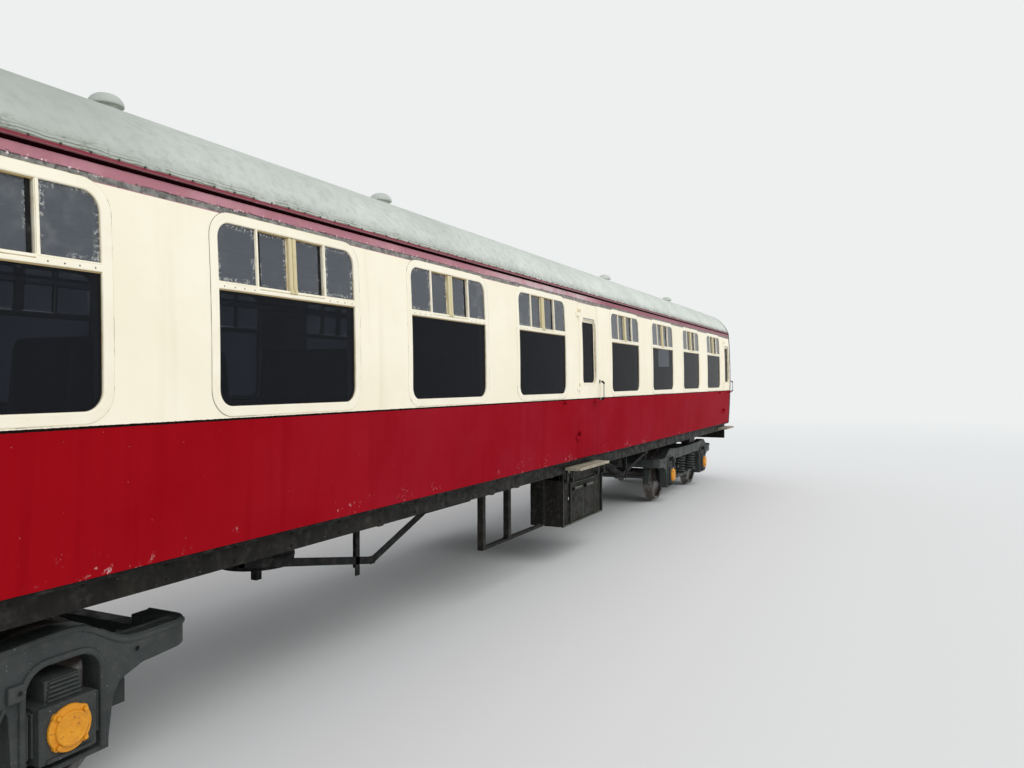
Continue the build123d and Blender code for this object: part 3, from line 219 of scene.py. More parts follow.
# %% [markdown]
# ## Effects that several finishes share
# Each effect is a node group that puts out a mask, and each material mixes it in with its own values.
# *Unevenness* is plain noise. *Streaks* are noise that is stretched downwards, as rain leaves them. *Specks* are
# small round dots, chips or droppings. *Edge line* finds a band round one height with a ragged edge, which is how
# a masked paint line or a line of flaking looks close by.

# %% Shared shader groups
def make_effect(name, draw, **inputs):
    """A shader group with one mask. draw gets the tree, the position and the inputs, and returns the mask."""
    tree = bpy.data.node_groups.new(name, "ShaderNodeTree")
    for label, default in inputs.items():
        tree.interface.new_socket(label, in_out="INPUT", socket_type=NUMBER).default_value = default
    tree.interface.new_socket("Mask", in_out="OUTPUT", socket_type=NUMBER)
    place = add_node(tree, "ShaderNodeTexCoord").outputs["Object"]
    given = list(add_node(tree, "NodeGroupInput").outputs)[:len(inputs)]
    add_node(tree, "NodeGroupOutput", {0: draw(tree, place, *given)})
    return tree


def draw_unevenness(tree, place, scale, detail, low, high):
    return steps(tree, noise_over(tree, place, scale, detail, 0.6), low, high)


def draw_streaks(tree, place, across, down, low, high):
    stretch = add_node(tree, "ShaderNodeCombineXYZ", {0: across, 1: across, 2: down}).outputs[0]
    return steps(tree, noise_over(tree, vector_maths(tree, "MULTIPLY", place, stretch), 1.0, 5.0, 0.62), low, high)


def draw_specks(tree, place, scale, size, amount):
    cells = add_node(tree, "ShaderNodeTexVoronoi", {"Vector": place, "Scale": scale}).outputs
    chance = add_node(tree, "ShaderNodeSeparateColor", {0: cells["Color"]}).outputs[0]
    wobble = maths(tree, "MULTIPLY", noise_over(tree, place, maths(tree, "MULTIPLY", scale, 2.5)), 2.0)
    dot = maths(tree, "LESS_THAN", cells["Distance"], maths(tree, "MULTIPLY", size, wobble))
    return maths(tree, "MULTIPLY", dot, maths(tree, "LESS_THAN", chance, amount))


def draw_edge_line(tree, place, height, half_width, raggedness, scale):
    z = add_node(tree, "ShaderNodeSeparateXYZ", {0: place}).outputs["Z"]
    shift = maths(tree, "MULTIPLY", maths(tree, "SUBTRACT", noise_over(tree, place, scale, 6.0), 0.5), raggedness)
    away = maths(tree, "ABSOLUTE", maths(tree, "SUBTRACT", maths(tree, "ADD", z, shift), height))
    return maths(tree, "LESS_THAN", away, half_width)


UNEVENNESS = make_effect("Unevenness", draw_unevenness, Scale=20.0, Detail=4.0, Low=0.35, High=0.65)
STREAKS = make_effect("Streaks", draw_streaks, Across=14.0, Down=0.5, Low=0.45, High=0.75)
SPECKS = make_effect("Specks", draw_specks, Scale=60.0, Size=0.12, Amount=0.3)
EDGE_LINE = make_effect("Edge line", draw_edge_line, Height=1.0, Half_width=0.005, Raggedness=0.003, Scale=40.0)
print("groups:", [g.name for g in bpy.data.node_groups])

# %% [markdown]
# ## Finishes
# `Finish` starts a material with one Principled shader and gives short names to what the recipes below need. A
# recipe lays one colour over another with `over`, step by step, sets a roughness that varies, and ends with a
# bump of a real depth.

# %% Starting a finish
class Finish:
    """A material that is being mixed: one Principled shader and the position over the surface."""

    def __init__(self, name, **plain):
        self.material = bpy.data.materials.new(name)
        self.material.use_nodes = True
        self.tree = self.material.node_tree
        self.shader = self.tree.nodes["Principled BSDF"]
        self.place = add_node(self.tree, "ShaderNodeTexCoord").outputs["Object"]
        self.x, self.y, self.z = add_node(self.tree, "ShaderNodeSeparateXYZ", {0: self.place}).outputs
        for label, value in plain.items():
            self.shader.inputs[label.replace("_", " ")].default_value = value

    def effect(self, group, *values):
        return add_node(self.tree, "ShaderNodeGroup", dict(enumerate(values)), node_tree=group).outputs[0]

    def uneven(self, scale, low=0.35, high=0.65, detail=4.0):
        return self.effect(UNEVENNESS, scale, detail, low, high)

    def streaks(self, across, down, low, high):
        return self.effect(STREAKS, across, down, low, high)

    def specks(self, scale, size, amount):
        return self.effect(SPECKS, scale, size, amount)

    def edge_line(self, height, half_width, raggedness, scale=40.0):
        return self.effect(EDGE_LINE, height, half_width, raggedness, scale)

    def mix(self, factor, first, second):
        return add_node(self.tree, "ShaderNodeMix", {0: factor, 6: first, 7: second}, data_type="RGBA").outputs[2]

    def over(self, base, tone, *masks):
        """Lay a screen colour over a base, as far as all the masks together let it."""
        return self.mix(self.times(*masks), base, colour(*tone))

    def times(self, *values):
        total = values[0]
        for value in values[1:]:
            total = maths(self.tree, "MULTIPLY", total, value)
        return total

    def steps(self, value, low, high, from_value=0.0, to_value=1.0):
        return steps(self.tree, value, low, high, from_value, to_value)

    def between(self, mask, from_value, to_value):
        return self.steps(mask, 0, 1, from_value, to_value)

    def attribute(self, name):
        return add_node(self.tree, "ShaderNodeAttribute", attribute_name=name).outputs["Fac"]

    def done(self, base, roughness, height=None, depth=0.001, metallic=None):
        """Connect what was mixed. Depth is the height of the bump in metres."""
        normal = None
        if height:
            normal = add_node(self.tree, "ShaderNodeBump", {"Height": height, "Distance": depth, "Strength": 1.0})
            normal = normal.outputs[0]
        for label, value in (("Base Color", base), ("Roughness", roughness), ("Metallic", metallic),
                             ("Normal", normal)):
            if value:
                self.tree.links.new(value, self.shader.inputs[label])
        return self.material


def grey(value):
    return (value, value, value, 1)


print("finish recipes can start")

# %% [markdown]
# The body is painted in two colours that meet at the waist, with a thin black line between them. Height over the
# rail decides the colour, so the same paint serves the sides, the doors and their hinges. The lower colour is
# glossy and shows darker streaks and a few pale runs and scuffs near its foot, and towards the far end it carries
# a painted sheen, a paler and pinker red where light glances along it; the upper one only gathers dirt.

# %% Body paint
CREAM, CRIMSON = colour(250, 243, 222), colour(151, 15, 24)


def mix_body_paint():
    f = Finish("body_paint", Specular_IOR_Level=0.0006)
    cream = f.over(CREAM, (236, 226, 196), f.uneven(1.1), 0.35)
    cream = f.over(cream, (214, 203, 172), f.streaks(9, 0.35, 0.52, 0.85), 0.30)
    cream = f.over(cream, (150, 134, 104), f.specks(26, 0.05, 0.16), 0.7)
    # Painted sheen: a paler, pinker red towards the far end, where light glances along the side.
    crimson = f.over(CRIMSON, (147, 31, 46), f.steps(f.x, -6.2, -1.8, 0, 0.85), f.between(f.uneven(1.4), 0.7, 1.0))
    crimson = f.over(crimson, (138, 6, 18), f.uneven(0.9), 0.45)
    crimson = f.over(crimson, (124, 4, 14), f.streaks(9, 0.22, 0.46, 0.80), 0.30)
    crimson = f.over(crimson, (186, 80, 80), f.streaks(42, 0.5, 0.68, 0.86), 0.16)
    foot = f.steps(f.z, BODY_BOTTOM + 0.16, BODY_BOTTOM)
    crimson = f.over(crimson, (196, 160, 158), f.uneven(34, 0.60, 0.66, 6), f.uneven(2.3, 0.52, 0.60), foot, 0.75)
    crimson = f.over(crimson, (205, 130, 130), f.specks(21, 0.045, 0.20), 0.55)
    upper = f.steps(f.z, WAIST - 0.001, WAIST + 0.001)
    base = f.over(f.mix(upper, crimson, cream), (26, 20, 18), f.edge_line(WAIST, 0.0065, 0.006, 60))
    rough = f.mix(f.times(f.uneven(3), 0.35), f.mix(upper, grey(0.20), grey(0.36)), grey(0.42))
    return f.done(base, rough, f.uneven(1.6, 0.1, 0.9, 2.0), 0.0025)


BODY_PAINT = mix_body_paint()

# %% [markdown]
# Above the cream runs a band in a dull maroon with the rain gutter on it. The band has gone chalky in the sun and
# flakes along its lower edge, where the grey undercoat shows; the pale flecks there are partly painted glints. The
# gutter is glossier and darker, its lower part is painted darker as shade, and a black line under it is a painted
# shadow. The roof is a pale grey with painted light: its flanks and its far part are painted lighter, where the sky
# light falls on them and glances along it. It has cracks and lines of dirt over its edge.

# %% Cantrail and roof paint
def mix_cantrail_paint():
    f = Finish("cantrail_paint")
    band = f.mix(f.steps(f.x, 1.5, 0.9), colour(144, 74, 86), colour(186, 130, 139))
    band = f.over(band, (158, 92, 104), f.uneven(1.3, 0.45, 0.62), 0.6)
    chalk = f.times(f.steps(f.x, -2.4, -0.6), f.steps(f.x, 1.1, 0.4), f.uneven(3, 0.30, 0.55))
    band = f.over(band, (214, 198, 198), chalk, 0.6)
    band = f.over(band, (132, 60, 76), f.streaks(6, 3.0, 0.5, 0.75), 0.3)
    undercoat = f.mix(f.uneven(22), colour(140, 138, 132), colour(88, 87, 82))
    flaking = f.times(f.edge_line(CANTRAIL + 0.020, 0.016, 0.014, 9), f.uneven(0.8, 0.28, 0.40))
    band = f.mix(flaking, band, undercoat)
    band = f.over(band, (60, 46, 44), f.edge_line(CANTRAIL + 0.02, 0.030, 0.02), f.uneven(38, 0.60, 0.64, 6), 0.8)
    lip = f.times(f.edge_line(CANTRAIL + 0.038, 0.0032, 0.016, 8), f.uneven(2.2, 0.40, 0.50))
    band = f.over(band, (34, 22, 22), lip, f.uneven(24, 0.36, 0.50), 0.9)
    # Pale flecks along the flaking edge: partly pale flakes, partly painted glints on their lifted edges.
    flakes_and_glints = f.times(f.edge_line(CANTRAIL + 0.040, 0.012, 0.010, 9), f.uneven(46, 0.60, 0.66, 5))
    band = f.over(band, (232, 212, 210), flakes_and_glints, 0.8)
    gutter = f.mix(f.uneven(7), colour(112, 10, 30), colour(122, 22, 42))
    # Painted shade: the lower part of the gutter roll, which faces down, is darker.
    gutter = f.over(gutter, (50, 6, 12), f.steps(f.z, GUTTER_LOW + 0.012, GUTTER_LOW))
    gutter = f.over(gutter, (176, 120, 128), f.uneven(50, 0.62, 0.68, 6), 0.45)
    on_gutter = f.steps(f.z, GUTTER_LOW - 0.001, GUTTER_LOW + 0.001)
    shadow = f.edge_line(GUTTER_LOW - 0.007, 0.0085, 0.003, 30)
    base = f.over(f.mix(on_gutter, band, gutter), (22, 4, 6), shadow)
    f.tree.links.new(f.between(shadow, 0.5, 0.0), f.shader.inputs["Specular IOR Level"])
    return f.done(base, f.mix(on_gutter, grey(0.5), grey(0.3)), f.uneven(45, 0.3, 0.7, 5), 0.0008)


def mix_roof_paint():
    f = Finish("roof_paint")
    # Painted light: the roof is lighter towards the far end as a painted sheen, and its flanks lighter than its crown.
    further = maths(f.tree, "ADD", f.steps(f.x, -5.8, -4.7, 0, 0.70), f.steps(f.x, -3.0, 3.0, 0, 0.34))
    crown = f.mix(further, colour(157, 162, 154), colour(204, 209, 201))
    flank = f.mix(further, colour(180, 186, 178), colour(217, 221, 214))
    base = f.mix(f.steps(f.z, ROOF_EDGE + 0.10, ROOF_EDGE + 0.42), flank, crown)
    base = f.over(base, (132, 138, 128), f.uneven(1.2), 0.22)
    base = f.over(base, (140, 146, 136), f.steps(f.z, ROOF_EDGE + 0.12, ROOF_EDGE + 0.03, 0.0, 0.35))
    base = f.over(base, (148, 154, 146), f.uneven(16, 0.4, 0.75, 6), 0.4)
    edge = f.steps(f.z, ROOF_EDGE + 0.14, ROOF_EDGE + 0.02)
    long = vector_maths(f.tree, "MULTIPLY", f.place, (9.0, 30.0, 30.0))
    bent = add_node(f.tree, "ShaderNodeTexNoise", {"Vector": f.place, "Scale": 14.0, "Detail": 5.0})
    long = vector_maths(f.tree, "ADD", long, bent.outputs["Color"])
    cracks = add_node(f.tree, "ShaderNodeTexVoronoi", {"Vector": long, "Scale": 1.0}, feature="DISTANCE_TO_EDGE")
    cracks = f.steps(cracks.outputs["Distance"], 0.07, 0.015)
    base = f.over(base, (104, 112, 98), cracks, f.uneven(4, 0.46, 0.58), edge, 0.6)
    base = f.over(base, (120, 130, 112), f.uneven(30, 0.55, 0.7, 6), edge, 0.55)
    for height, half_width, strength in ((0.017, 0.005, 0.85), (0.036, 0.0032, 0.7), (0.055, 0.0018, 0.4)):
        line = f.edge_line(ROOF_EDGE + height, half_width, 0.020, 11)
        base = f.over(base, (92, 92, 76), line, f.uneven(6, 0.35, 0.5), strength)
    base = f.over(base, (110, 114, 108), f.specks(70, 0.1, 0.10), 0.6)
    base = f.over(base, (122, 22, 44), f.edge_line(ROOF_EDGE, 0.0140, 0.0030, 30))
    return f.done(base, f.between(f.uneven(5), 0.55, 0.75), f.uneven(8, 0.2, 0.8, 6), 0.004)


CANTRAIL_PAINT, ROOF_PAINT = mix_cantrail_paint(), mix_roof_paint()
print("body, cantrail and roof paint mixed")

# %% [markdown]
# Window frames are cream like the body, but the inner lips are ochre: partly rust and old sealant, and partly
# painted shade that deepens into the opening. The frame meshes carry an attribute called `age_and_shade`, 0 on the
# flat flange and 1 deep inside the opening, and the paint reads it. The strips where two sliding lights meet are a
# browner cream. The sealant round a frame has been painted over by hand, so it shows dark in some places and is
# hidden in others.

# %% Window paint
def mix_frame_paint(name, clean, ochre_and_shade):
    f = Finish(name)
    base = f.over(clean, (232, 222, 190), f.uneven(3.0), 0.3)
    # The ochre grows with age_and_shade: partly rust and old sealant, partly painted shade deep in the opening.
    aged_and_shaded = maths(f.tree, "ADD", f.attribute("age_and_shade"), f.times(f.uneven(12, 0.3, 0.7), 0.35))
    base = f.over(base, ochre_and_shade, f.steps(aged_and_shaded, 0.45, 1.1))
    base = f.over(base, (120, 96, 60), f.specks(60, 0.07, 0.12), 0.7)
    return f.done(base, f.between(f.uneven(9), 0.32, 0.5), f.uneven(30, 0.3, 0.7, 4), 0.0004)


def mix_sealant():
    f = Finish("sealant")
    bare = maths(f.tree, "MAXIMUM", f.uneven(0.9, 0.50, 0.60), f.times(f.uneven(7, 0.52, 0.60, 5), 0.8))
    base = f.mix(bare, colour(232, 223, 196), colour(58, 50, 44))
    return f.done(base, f.between(f.uneven(9), 0.45, 0.6), f.uneven(40, 0.3, 0.7, 4), 0.0004)


FRAME_PAINT = mix_frame_paint("frame_paint", CREAM, (178, 154, 104))
STILE_PAINT = mix_frame_paint("stile_paint", colour(208, 195, 150), (156, 130, 84))
SEALANT = mix_sealant()

# %% [markdown]
# Glass is clear, but a coach window looks almost black by day, because little light comes back from inside. The
# lower panes bend light only a little, so they mirror little of the bright studio, and their near-black tint is a
# painted reflection of dark surroundings. The top lights are plainer glass with old paint and dust in their
# corners, which the attribute `age_and_shade` marks, and their grey-blue tone is a painted reflection of the sky.
# The toilet window is frosted.

# %% Glass
def mix_glass(name, tint_and_reflection, clear, bending, dust, roughness=0.02):
    f = Finish(name, Transmission_Weight=clear, IOR=bending, Roughness=roughness)
    rim = f.times(f.steps(f.attribute("age_and_shade"), 0.12, 0.62), f.uneven(62, 0.52, 0.56, 6), f.uneven(6, 0.42, 0.52))
    mist = f.times(f.uneven(2.1, 0.48, 0.62), f.uneven(11, 0.40, 0.75, 5), dust * 0.6)
    spots = maths(f.tree, "MAXIMUM", f.times(f.specks(45, 0.05, dust), 0.5), maths(f.tree, "MAXIMUM", rim, mist))
    return f.done(f.over(tint_and_reflection, (252, 252, 246), spots), f.between(f.uneven(4), roughness, roughness + 0.02))


# The near-black tint of the lower panes and the grey-blue of the top lights are painted reflections.
PANE_GLASS = mix_glass("pane_glass", (0.10, 0.11, 0.13, 1), 0.90, 1.06, 0.04)
LIGHT_GLASS = mix_glass("light_glass", (0.24, 0.265, 0.30, 1), 0.68, 1.22, 0.30)
FROSTED_GLASS = mix_glass("frosted_glass", (0.78, 0.82, 0.82, 1), 0.7, 1.45, 0.05, 0.45)
print("window finishes mixed")

# %% [markdown]
# Everything below the floor is painted a dark grey that is nearly black, and road and rail dust has settled on
# it in pale specks. Castings have the fine grain of the sand mould. Bare steel on the wheels is polished where it
# rolls, and brown elsewhere.

# %% Metal and rubber
def mix_dark_paint(name, tone, grain, grain_depth, specks, gloss=0.45, edge=None):
    f = Finish(name, Specular_IOR_Level=0.08)
    tone = colour(*tone)
    base = f.mix(f.uneven(3.0), tone, [v * 0.72 for v in tone[:3]] + [1])
    base = f.over(base, (92, 90, 84), f.uneven(15, 0.45, 0.8, 6), 0.35)
    base = f.over(base, (176, 176, 170), f.specks(58, 0.07, specks), 0.8)
    base = f.over(base, (150, 152, 148), f.specks(27, 0.075, specks), 0.65)
    base = f.over(base, (130, 130, 124), f.specks(140, 0.10, specks), 0.5)
    if edge:
        base = f.over(base, edge, f.streaks(10, 1.4, 0.5, 0.7), 0.25)
    return f.done(base, f.between(f.uneven(8), gloss, gloss + 0.2), f.uneven(grain, 0.2, 0.8, 6), grain_depth)


def mix_yellow_paint():
    f = Finish("cover_paint")
    base = f.mix(f.uneven(9), colour(228, 156, 26), colour(212, 138, 18))
    base = f.over(base, (140, 88, 20), f.uneven(40, 0.58, 0.66, 6), 0.6)
    base = f.over(base, (120, 90, 50), f.specks(90, 0.12, 0.2), 0.6)
    return f.done(base, f.between(f.uneven(20), 0.4, 0.6), f.uneven(60, 0.2, 0.8, 5), 0.0010)


def mix_steel(name, bright, rust, share, roughness):
    f = Finish(name)
    mask = f.uneven(7, share, share + 0.2, 6)
    base = f.over(f.mix(mask, colour(*bright), colour(*rust)), (46, 42, 38), f.uneven(60, 0.5, 0.7), 0.3)
    return f.done(base, f.between(mask, roughness, 0.7), f.uneven(90, 0.2, 0.8, 5), 0.0006, f.between(mask, 0.9, 0.2))


BLACK_PAINT = mix_dark_paint("black_paint", (35, 34, 32), 26, 0.0005, 0.10, edge=(66, 60, 52))
CASTING = mix_dark_paint("bogie_casting", (68, 72, 71), 55, 0.0020, 0.34, 0.34)
BOLT_PAINT = mix_dark_paint("bolt_paint", (84, 92, 80), 40, 0.0004, 0.05)
DEEP_BLACK = mix_dark_paint("deep_black", (30, 30, 30), 18, 0.0008, 0.04, 0.55)
END_PAINT = mix_dark_paint("end_paint", (38, 38, 38), 8, 0.0012, 0.04, 0.42, (62, 58, 52))
BELLOWS_CLOTH = mix_dark_paint("bellows_cloth", (40, 39, 38), 160, 0.0006, 0.03, 0.75)
COVER_PAINT = mix_yellow_paint()
WHEEL_STEEL = mix_steel("wheel_steel", (120, 118, 116), (74, 64, 56), 0.38, 0.35)
BRIGHT_STEEL = mix_steel("bright_steel", (205, 205, 202), (130, 124, 116), 0.66, 0.22)
BUFFER_STEEL = mix_steel("buffer_steel", (120, 116, 110), (66, 56, 48), 0.42, 0.4)
print("metal finishes mixed")

# %% [markdown]
# Wood comes in two kinds: the weathered plank of the step, grey and furrowed along its length, and the varnished
# panels inside. The grain is noise that is stretched along the plank. Seat cloth is a small woven check with a
# short pile, and the racks are a light alloy.

# %% Wood, cloth and rack metal
def mix_wood(name, light, dark, furrow, roughness, along):
    f = Finish(name)
    dark = colour(*dark)
    stretch = add_node(f.tree, "ShaderNodeMapping", {"Vector": f.place, "Scale": along})
    grain = noise_over(f.tree, stretch.outputs[0], 1.0, 7.0, 0.65)
    base = f.mix(f.steps(grain, 0.35, 0.68), colour(*light), dark)
    base = f.mix(f.times(f.uneven(9, 0.5, 0.75), 0.4), base, [v * 0.6 for v in dark[:3]] + [1])
    return f.done(base, f.steps(grain, 0.3, 0.7, roughness, roughness + 0.15), grain, furrow)


def mix_seat_cloth():
    f = Finish("seat_cloth", Sheen_Weight=0.35, Sheen_Roughness=0.4)
    threads = 46.0
    across = maths(f.tree, "SINE", maths(f.tree, "MULTIPLY", f.y, threads * math.tau))
    down = maths(f.tree, "SINE", maths(f.tree, "MULTIPLY", maths(f.tree, "ADD", f.z, f.x), threads * math.tau))
    check = f.times(across, down)
    base = f.mix(f.steps(check, -0.2, 0.2), colour(96, 28, 34), colour(60, 30, 34))
    base = f.over(base, (160, 132, 92), f.steps(check, 0.6, 0.9), 0.7)
    base = f.over(base, (50, 26, 28), f.uneven(5), 0.3)
    return f.done(base, f.between(f.uneven(12), 0.8, 0.95), f.uneven(420, 0.2, 0.8, 2), 0.0008)


def mix_rack_metal():
    f = Finish("rack_metal")
    brushed = f.streaks(220, 220, 0.3, 0.7)
    base = f.mix(brushed, colour(196, 196, 190), colour(160, 160, 154))
    return f.done(base, f.between(brushed, 0.3, 0.5), brushed, 0.0002, f.between(f.uneven(4), 0.9, 0.8))


STEP_WOOD = mix_wood("step_wood", (176, 170, 150), (112, 104, 88), 0.006, 0.8, (3.0, 60.0, 60.0))
PANEL_WOOD = mix_wood("panel_wood", (140, 92, 52), (92, 54, 28), 0.0006, 0.35, (40.0, 40.0, 2.0))
TABLE_WOOD = mix_wood("table_top", (150, 104, 62), (104, 66, 36), 0.0003, 0.3, (50.0, 3.0, 50.0))
SEAT_CLOTH, RACK_METAL = mix_seat_cloth(), mix_rack_metal()
print(len(bpy.data.materials), "materials")

# %% [markdown]
# ## Finishes for the CAD parts
# Every CAD part gets a finish first. The cells below put finer pieces in the place of the parts, which are then
# hidden, and the pieces keep the same finishes.

# %% Give every CAD part its finish
FINISH_OF = {
    "body_side": BODY_PAINT, "cantrails": CANTRAIL_PAINT, "roof": ROOF_PAINT, "end_wall": END_PAINT,
    "window_frames": FRAME_PAINT, "window_glass": PANE_GLASS, "door_": BODY_PAINT, "floor": DEEP_BLACK,
    "underframe": BLACK_PAINT, "battery_boxes": BLACK_PAINT, "brake_cylinders": DEEP_BLACK,
    "truss_frames": BLACK_PAINT, "hung_frames": BLACK_PAINT, "footsteps": STEP_WOOD, "pipe_stubs": DEEP_BLACK,
    "gangway_bellows": BELLOWS_CLOTH, "gangway_faceplates": END_PAINT, "buffers": BUFFER_STEEL,
    "couplers": BUFFER_STEEL, "partitions": PANEL_WOOD, "seat_frames": DEEP_BLACK, "seat_pads": SEAT_CLOTH,
    "tables": TABLE_WOOD, "luggage_racks": RACK_METAL, "bogie_": CASTING, "wheelset_": WHEEL_STEEL,
}


def finish_for(name):
    if name.startswith("door_") and name.endswith("_glass"):
        return PANE_GLASS
    return FINISH_OF[next(key for key in FINISH_OF if name.startswith(key))]


for name, part in nodes.items():
    part.data.materials.clear()
    part.data.materials.append(finish_for(name))
print(len(nodes), "CAD parts have a finish")

# %% [markdown]
# ## Ways to make a piece
# Every piece ends the same way: its mesh is shaded smooth except at real corners, it is tied to the body that
# carries it, and the CAD part that it stands for is hidden. `piece_from` does all of that, and repeats the mesh
# first if it is given places. `rounded_piece` starts from a CAD part: it joins the loose triangles of a copy,
# merges those that lie flat, and rounds the sharp edges by a few millimetres, because no real edge is perfectly
# sharp and a rounded one catches the light.

# %% Finished pieces
SAME = Matrix.Identity(4)
MIRROR = Matrix.Diagonal((1, -1, 1, 1))
MIRROR_END = Matrix.Diagonal((-1, 1, 1, 1))
BOTH_SIDES = [SAME, MIRROR]
FOUR_CORNERS = [SAME, MIRROR, MIRROR_END, MIRROR_END @ MIRROR]


def moved(x=0, y=0, z=0):
    return Matrix.Translation((x, y, z))


def side_places(positions):
    """Places for a piece drawn on the right side at x = 0: at each position, on both sides."""
    places = [moved(x) for x in positions]
    return places + [MIRROR @ place for place in places]


def mesh_of(bm):
    """Turn a bmesh into a mesh. The bmesh is freed."""
    mesh = bpy.data.meshes.new("drawn")
    bm.to_mesh(mesh)
    bm.free()
    return mesh


def held(mesh, name):
    """A passing object that holds a mesh while modifiers work on it."""
    holder = bpy.data.objects.new(name, mesh)
    bpy.context.scene.collection.objects.link(holder)
    return holder


def baked(holder, name):
    """The mesh of an object with its modifiers applied. The object and its own mesh are removed."""
    graph = bpy.context.evaluated_depsgraph_get()
    mesh = bpy.data.meshes.new_from_object(holder.evaluated_get(graph), preserve_all_data_layers=True,
                                           depsgraph=graph)
    mesh.name = name
    source = holder.data
    holder.modifiers.clear()
    bpy.data.objects.remove(holder)
    bpy.data.meshes.remove(source)
    return mesh


def copies(source, places):
    """One mesh with a copy of the source at each place. A mirrored copy is turned right side out."""
    bm = bmesh.new()
    for place in places:
        part = source.copy()
        part.transform(place)
        if place.determinant() < 0:
            part.flip_normals()
        bm.from_mesh(part)
        bpy.data.meshes.remove(part)
    return mesh_of(bm)


def piece_from(mesh, name, materials, replaced=(), corner=35, body="coach", places=None):
    """Make a mesh into a piece that rides on a body. Large faces set the shading, so they look flat."""
    if isinstance(mesh, bmesh.types.BMesh):
        mesh = mesh_of(mesh)
    if places:
        mesh = copies(mesh, places)
    if not mesh.materials:
        for material in materials:
            mesh.materials.append(material)
    mesh.shade_smooth()
    mesh.set_sharp_from_angle(angle=math.radians(corner))
    holder = held(mesh, name + "_shading")
    holder.modifiers.new("shading", "WEIGHTED_NORMAL").keep_sharp = True
    mesh = baked(holder, name)
    piece = bpy.data.objects.new(name, mesh)
    bpy.context.scene.collection.objects.link(piece)
    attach(piece, body)
    if replaced:
        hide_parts(*replaced)
    print(f"{name}: {len(mesh.polygons)} faces on {body}")
    return piece


def joined_copy(node, flat_within=0.2):
    """The mesh of a CAD part as a bmesh, with its triangles joined and its flat areas merged."""
    bm = bmesh.new()
    bm.from_mesh(nodes[node].data)
    bmesh.ops.remove_doubles(bm, verts=bm.verts, dist=0.00005)
    bmesh.ops.dissolve_limit(bm, angle_limit=math.radians(flat_within), verts=bm.verts, edges=bm.edges)
    return bm


def solids_in(bm):
    """The separate solids of a bmesh, as lists of vertices."""
    left = set(bm.verts)
    found = []
    while left:
        group, waiting = [], [left.pop()]
        while waiting:
            vertex = waiting.pop()
            group.append(vertex)
            for edge in vertex.link_edges:
                other = edge.other_vert(vertex)
                if other in left:
                    left.remove(other)
                    waiting.append(other)
        found.append(group)
    return found


def round_edges(bm, width, segments=2, sharper_than=30):
    """Round every edge that is sharper than an angle."""
    sharp = [e for e in bm.edges if len(e.link_faces) == 2 and e.calc_face_angle(0) > math.radians(sharper_than)]
    bmesh.ops.bevel(bm, geom=sharp, offset=width, segments=segments, profile=0.5, affect="EDGES",
                    clamp_overlap=True)


def cut_away(bm, drop):
    """Delete vertices, close the holes that this leaves, and turn all faces outwards."""
    bmesh.ops.delete(bm, geom=drop, context="VERTS")
    holes = [e for e in bm.edges if len(e.link_faces) == 1]
    if holes:
        bmesh.ops.holes_fill(bm, edges=holes, sides=0)
    bmesh.ops.recalc_face_normals(bm, faces=bm.faces)


def rounded_piece(node, name, material, width=0.0015, corner=32, lift_below=None):
    """A joined copy of a CAD part of the coach with slightly rounded edges, in place of the part.

    lift_below is a height and a distance: what is lower than the height is moved up by the distance.
    """
    bm = joined_copy(node, 0.05)
    if lift_below:
        for vertex in bm.verts:
            if vertex.co.z < lift_below[0]:
                vertex.co.z += lift_below[1]
    if width:
        round_edges(bm, width, 2, 40)
    return piece_from(bm, name, [material], [node], corner)


def size_of(vertices):
    low = Vector([min(v.co[i] for v in vertices) for i in range(3)])
    high = Vector([max(v.co[i] for v in vertices) for i in range(3)])
    return low, high


# %% [markdown]
# More helpers draw shapes. `add_block` puts a box with rounded edges into a mesh, and takes a function that bends
# it, so that a bar can follow the curve of the side. `add_strip` joins rows of points into a skin, as when a
# moulding is drawn by moving its section along a line, and `closed_skin` closes its ends too. `add_tube` and
# `add_turned` draw with that what was bent from round bar or turned on a lathe.

# %% Drawing helpers
FACING_SIDE = Matrix.Rotation(math.pi / 2, 4, "X")


def unit_block(bm, low, high):
    """Put a cube into an empty bmesh and stretch it between two corners, given in any order."""
    bmesh.ops.create_cube(bm, size=1.0)
    for vertex in bm.verts:
        for i in range(3):
            start, end = sorted((low[i], high[i]))
            vertex.co[i] = start + (vertex.co[i] + 0.5) * (end - start)


def add_block(bm, low, high, rounding=0.0, bend=None, material=0, age_and_shade=0.0, segments=2):
    """A box between two corners with rounded edges."""
    block = bmesh.new()
    unit_block(block, low, high)
    if rounding:
        bmesh.ops.bevel(block, geom=block.edges[:], offset=rounding, segments=segments, profile=0.5,
                        affect="EDGES", clamp_overlap=True)
    add_part(bm, block, bend, material, age_and_shade)


def add_part(bm, part, bend=None, material=0, age_and_shade=0.0):
    """Move a small closed bmesh into a larger one, bent, right side out, and with a material and an age_and_shade
    value.
    """
    layer = part.verts.layers.float.get("age_and_shade") or part.verts.layers.float.new("age_and_shade")
    for vertex in part.verts:
        if bend:
            vertex.co = bend(vertex.co)
        if age_and_shade:
            vertex[layer] = age_and_shade
    if part.calc_volume(signed=True) < 0:
        bmesh.ops.reverse_faces(part, faces=part.faces[:])
    for face in part.faces:
        face.material_index = material
    if bm.verts.layers.float.get("age_and_shade") is None:
        bm.verts.layers.float.new("age_and_shade")
    mesh = mesh_of(part)
    bm.from_mesh(mesh)
    bpy.data.meshes.remove(mesh)


